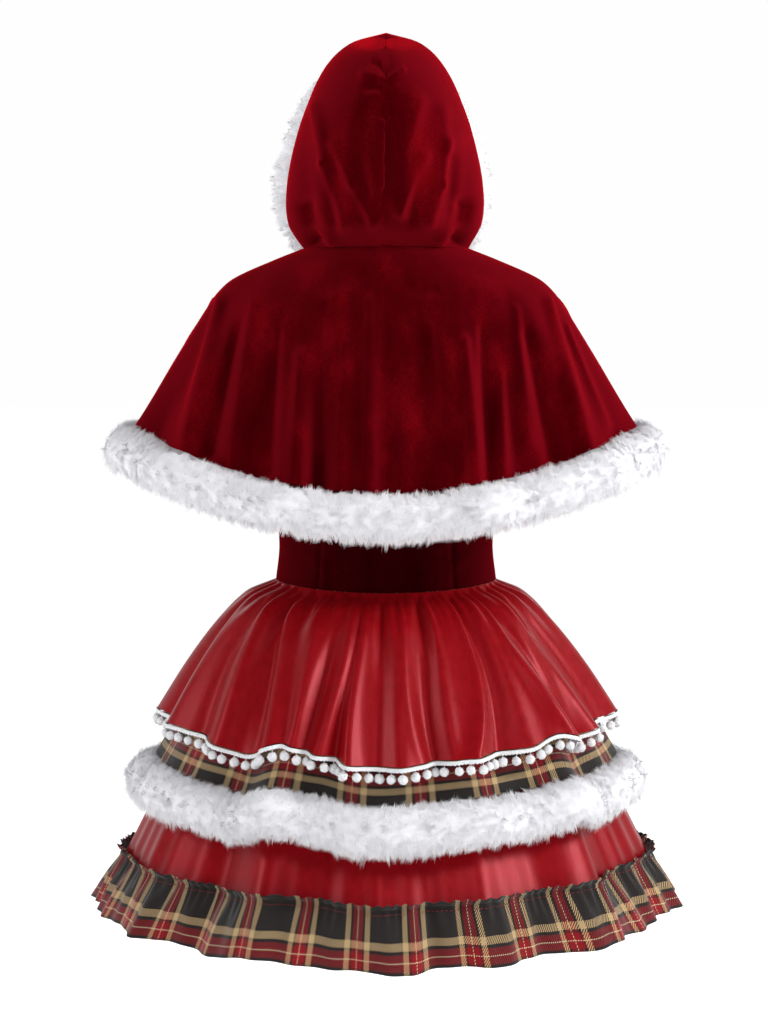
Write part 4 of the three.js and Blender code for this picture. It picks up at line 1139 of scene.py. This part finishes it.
def ruffle_points(angle, at):
    """Points of the ruffle, whose sewn line lies round the bottom tier's hem."""
    turn = np.radians(angle)
    drawn = turn + 0.02 * np.sin(5 * turn + 1) + 0.012 * np.sin(13 * turn)
    gather = curve(RUFFLE_ROWS, "gather", at) * (1 + np.cos(RUFFLE_GATHERS * drawn)) / 2
    uneven = 0.8 + 0.2 * np.sin(7 * turn + 2)
    wave = curve(RUFFLE_ROWS, "wave", at) * uneven * (1 + np.cos(RUFFLE_WAVES * drawn + 1)) / 2
    near_line = np.exp(-((at - PLEATS_LOW) / PLEATS_REACH) ** 2)
    near_line = near_line + PLEATS_HIGH_SHARE * np.exp(-((at - PLEATS_HIGH) / PLEATS_REACH) ** 2)
    pleat_turn = RUFFLE_PLEATS * turn + 2.6 * np.sin(9 * turn) + 1.7 * np.sin(23 * turn + 1)
    gather = gather + PLEAT_DEPTH * near_line * (1 + np.sin(pleat_turn)) / 2
    out = RUFFLE_CLEARANCE + TARTAN_WALL + curve(RUFFLE_ROWS, "out", at) + gather + wave
    point = bottom_points(angle, 0 * at + 1) + from_axis(angle) * out[..., None]
    uneven_edge = EDGE_UNEVEN * np.sin(pleat_turn + 1.2) * np.exp(-(at / 0.2) ** 2)
    point[..., 2] += RUFFLE_LAP + curve(RUFFLE_ROWS, "over", at) - 0.14 * wave + uneven_edge
    return point


ruffle_tartan = tartan_material("tartan_twill_ruffle", 0)
at, angle = grid(np.linspace(0, 1, RUFFLE_ROWS_DOWN), np.linspace(0, 360, RUFFLE_COLUMNS))
points = ruffle_points(angle, at)
down = np.cumsum(np.linalg.norm(np.diff(points, axis=0), axis=-1), axis=0).mean(axis=1)
depth = np.concatenate([[0], down])[:, None] + 0 * angle
flat = np.stack([angle / 360 * RUFFLE_FLAT_ROUND, RUFFLE_HEADING - RUFFLE_SETT_DRAWN * depth], axis=-1)
ruffle = cut_piece("hem_ruffle", "tartan", points, flat, TARTAN_WALL, ruffle_tartan, closed=True)

# Stitches on the ruffle
# The gathering line is sewn with dark red polyester thread, in stitches of 4 mm that sink a
# little into the cloth at both ends.
SEWN_LINE = 0.33
STITCH_LENGTH = 4.0
STITCH_GAP = 1.1
STITCH_HALF = 0.55
# The thread's section, as places out and up, and its lift at four shares of a stitch.
STITCH_SECTION = [(-0.4, 0), (0.25, -STITCH_HALF), (0.55, 0), (0.25, STITCH_HALF)]
STITCH_LIFT = [(0, -0.7), (0.3, 0.25), (0.7, 0.25), (1, -0.7)]
stitch_thread, thread_shader, thread_coords = finish_material(
    "dark_red_thread", {"Roughness": 0.5, "Specular IOR Level": 0.4},
)
# Twisted thread: a short light and dark beat along each stitch.
thread_twist = add_noise(stitch_thread, thread_coords["Object"], 900, 1)
thread_tint = add_ramp(stitch_thread, thread_twist, [(0.35, "#3E0309"), (0.65, "#7E0B16")])
connect(stitch_thread, thread_shader, {"Base Color": thread_tint})
angle = np.linspace(0, 360, 2881)
line = ruffle_points(angle, 0 * angle + SEWN_LINE)
travel = travelled(line)
starts = np.arange(0, travel[-1] - STITCH_LENGTH, STITCH_LENGTH + STITCH_GAP)
rings = []
for share, lift in STITCH_LIFT:
    place = starts + share * STITCH_LENGTH
    at_line, away = along_line(place, travel, line), along_line(place, travel, from_axis(angle))
    corners = [at_line + away * (out + lift) + UP * up for out, up in STITCH_SECTION]
    rings.append(np.stack(corners, axis=1))
stitches = np.stack(rings, axis=1)
index = np.arange(stitches.size // 3).reshape(stitches.shape[:3])
beside = np.roll(index, -1, axis=2)
sides = np.stack([index[:, :-1], beside[:, :-1], beside[:, 1:], index[:, 1:]], axis=-1)
quads = np.concatenate([sides.reshape(-1, 4), index[:, 0, ::-1], index[:, -1]])
stitching = place_mesh("ruffle_stitching", stitches.reshape(-1, 3), quads, None, stitch_thread)
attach(stitching, "root")
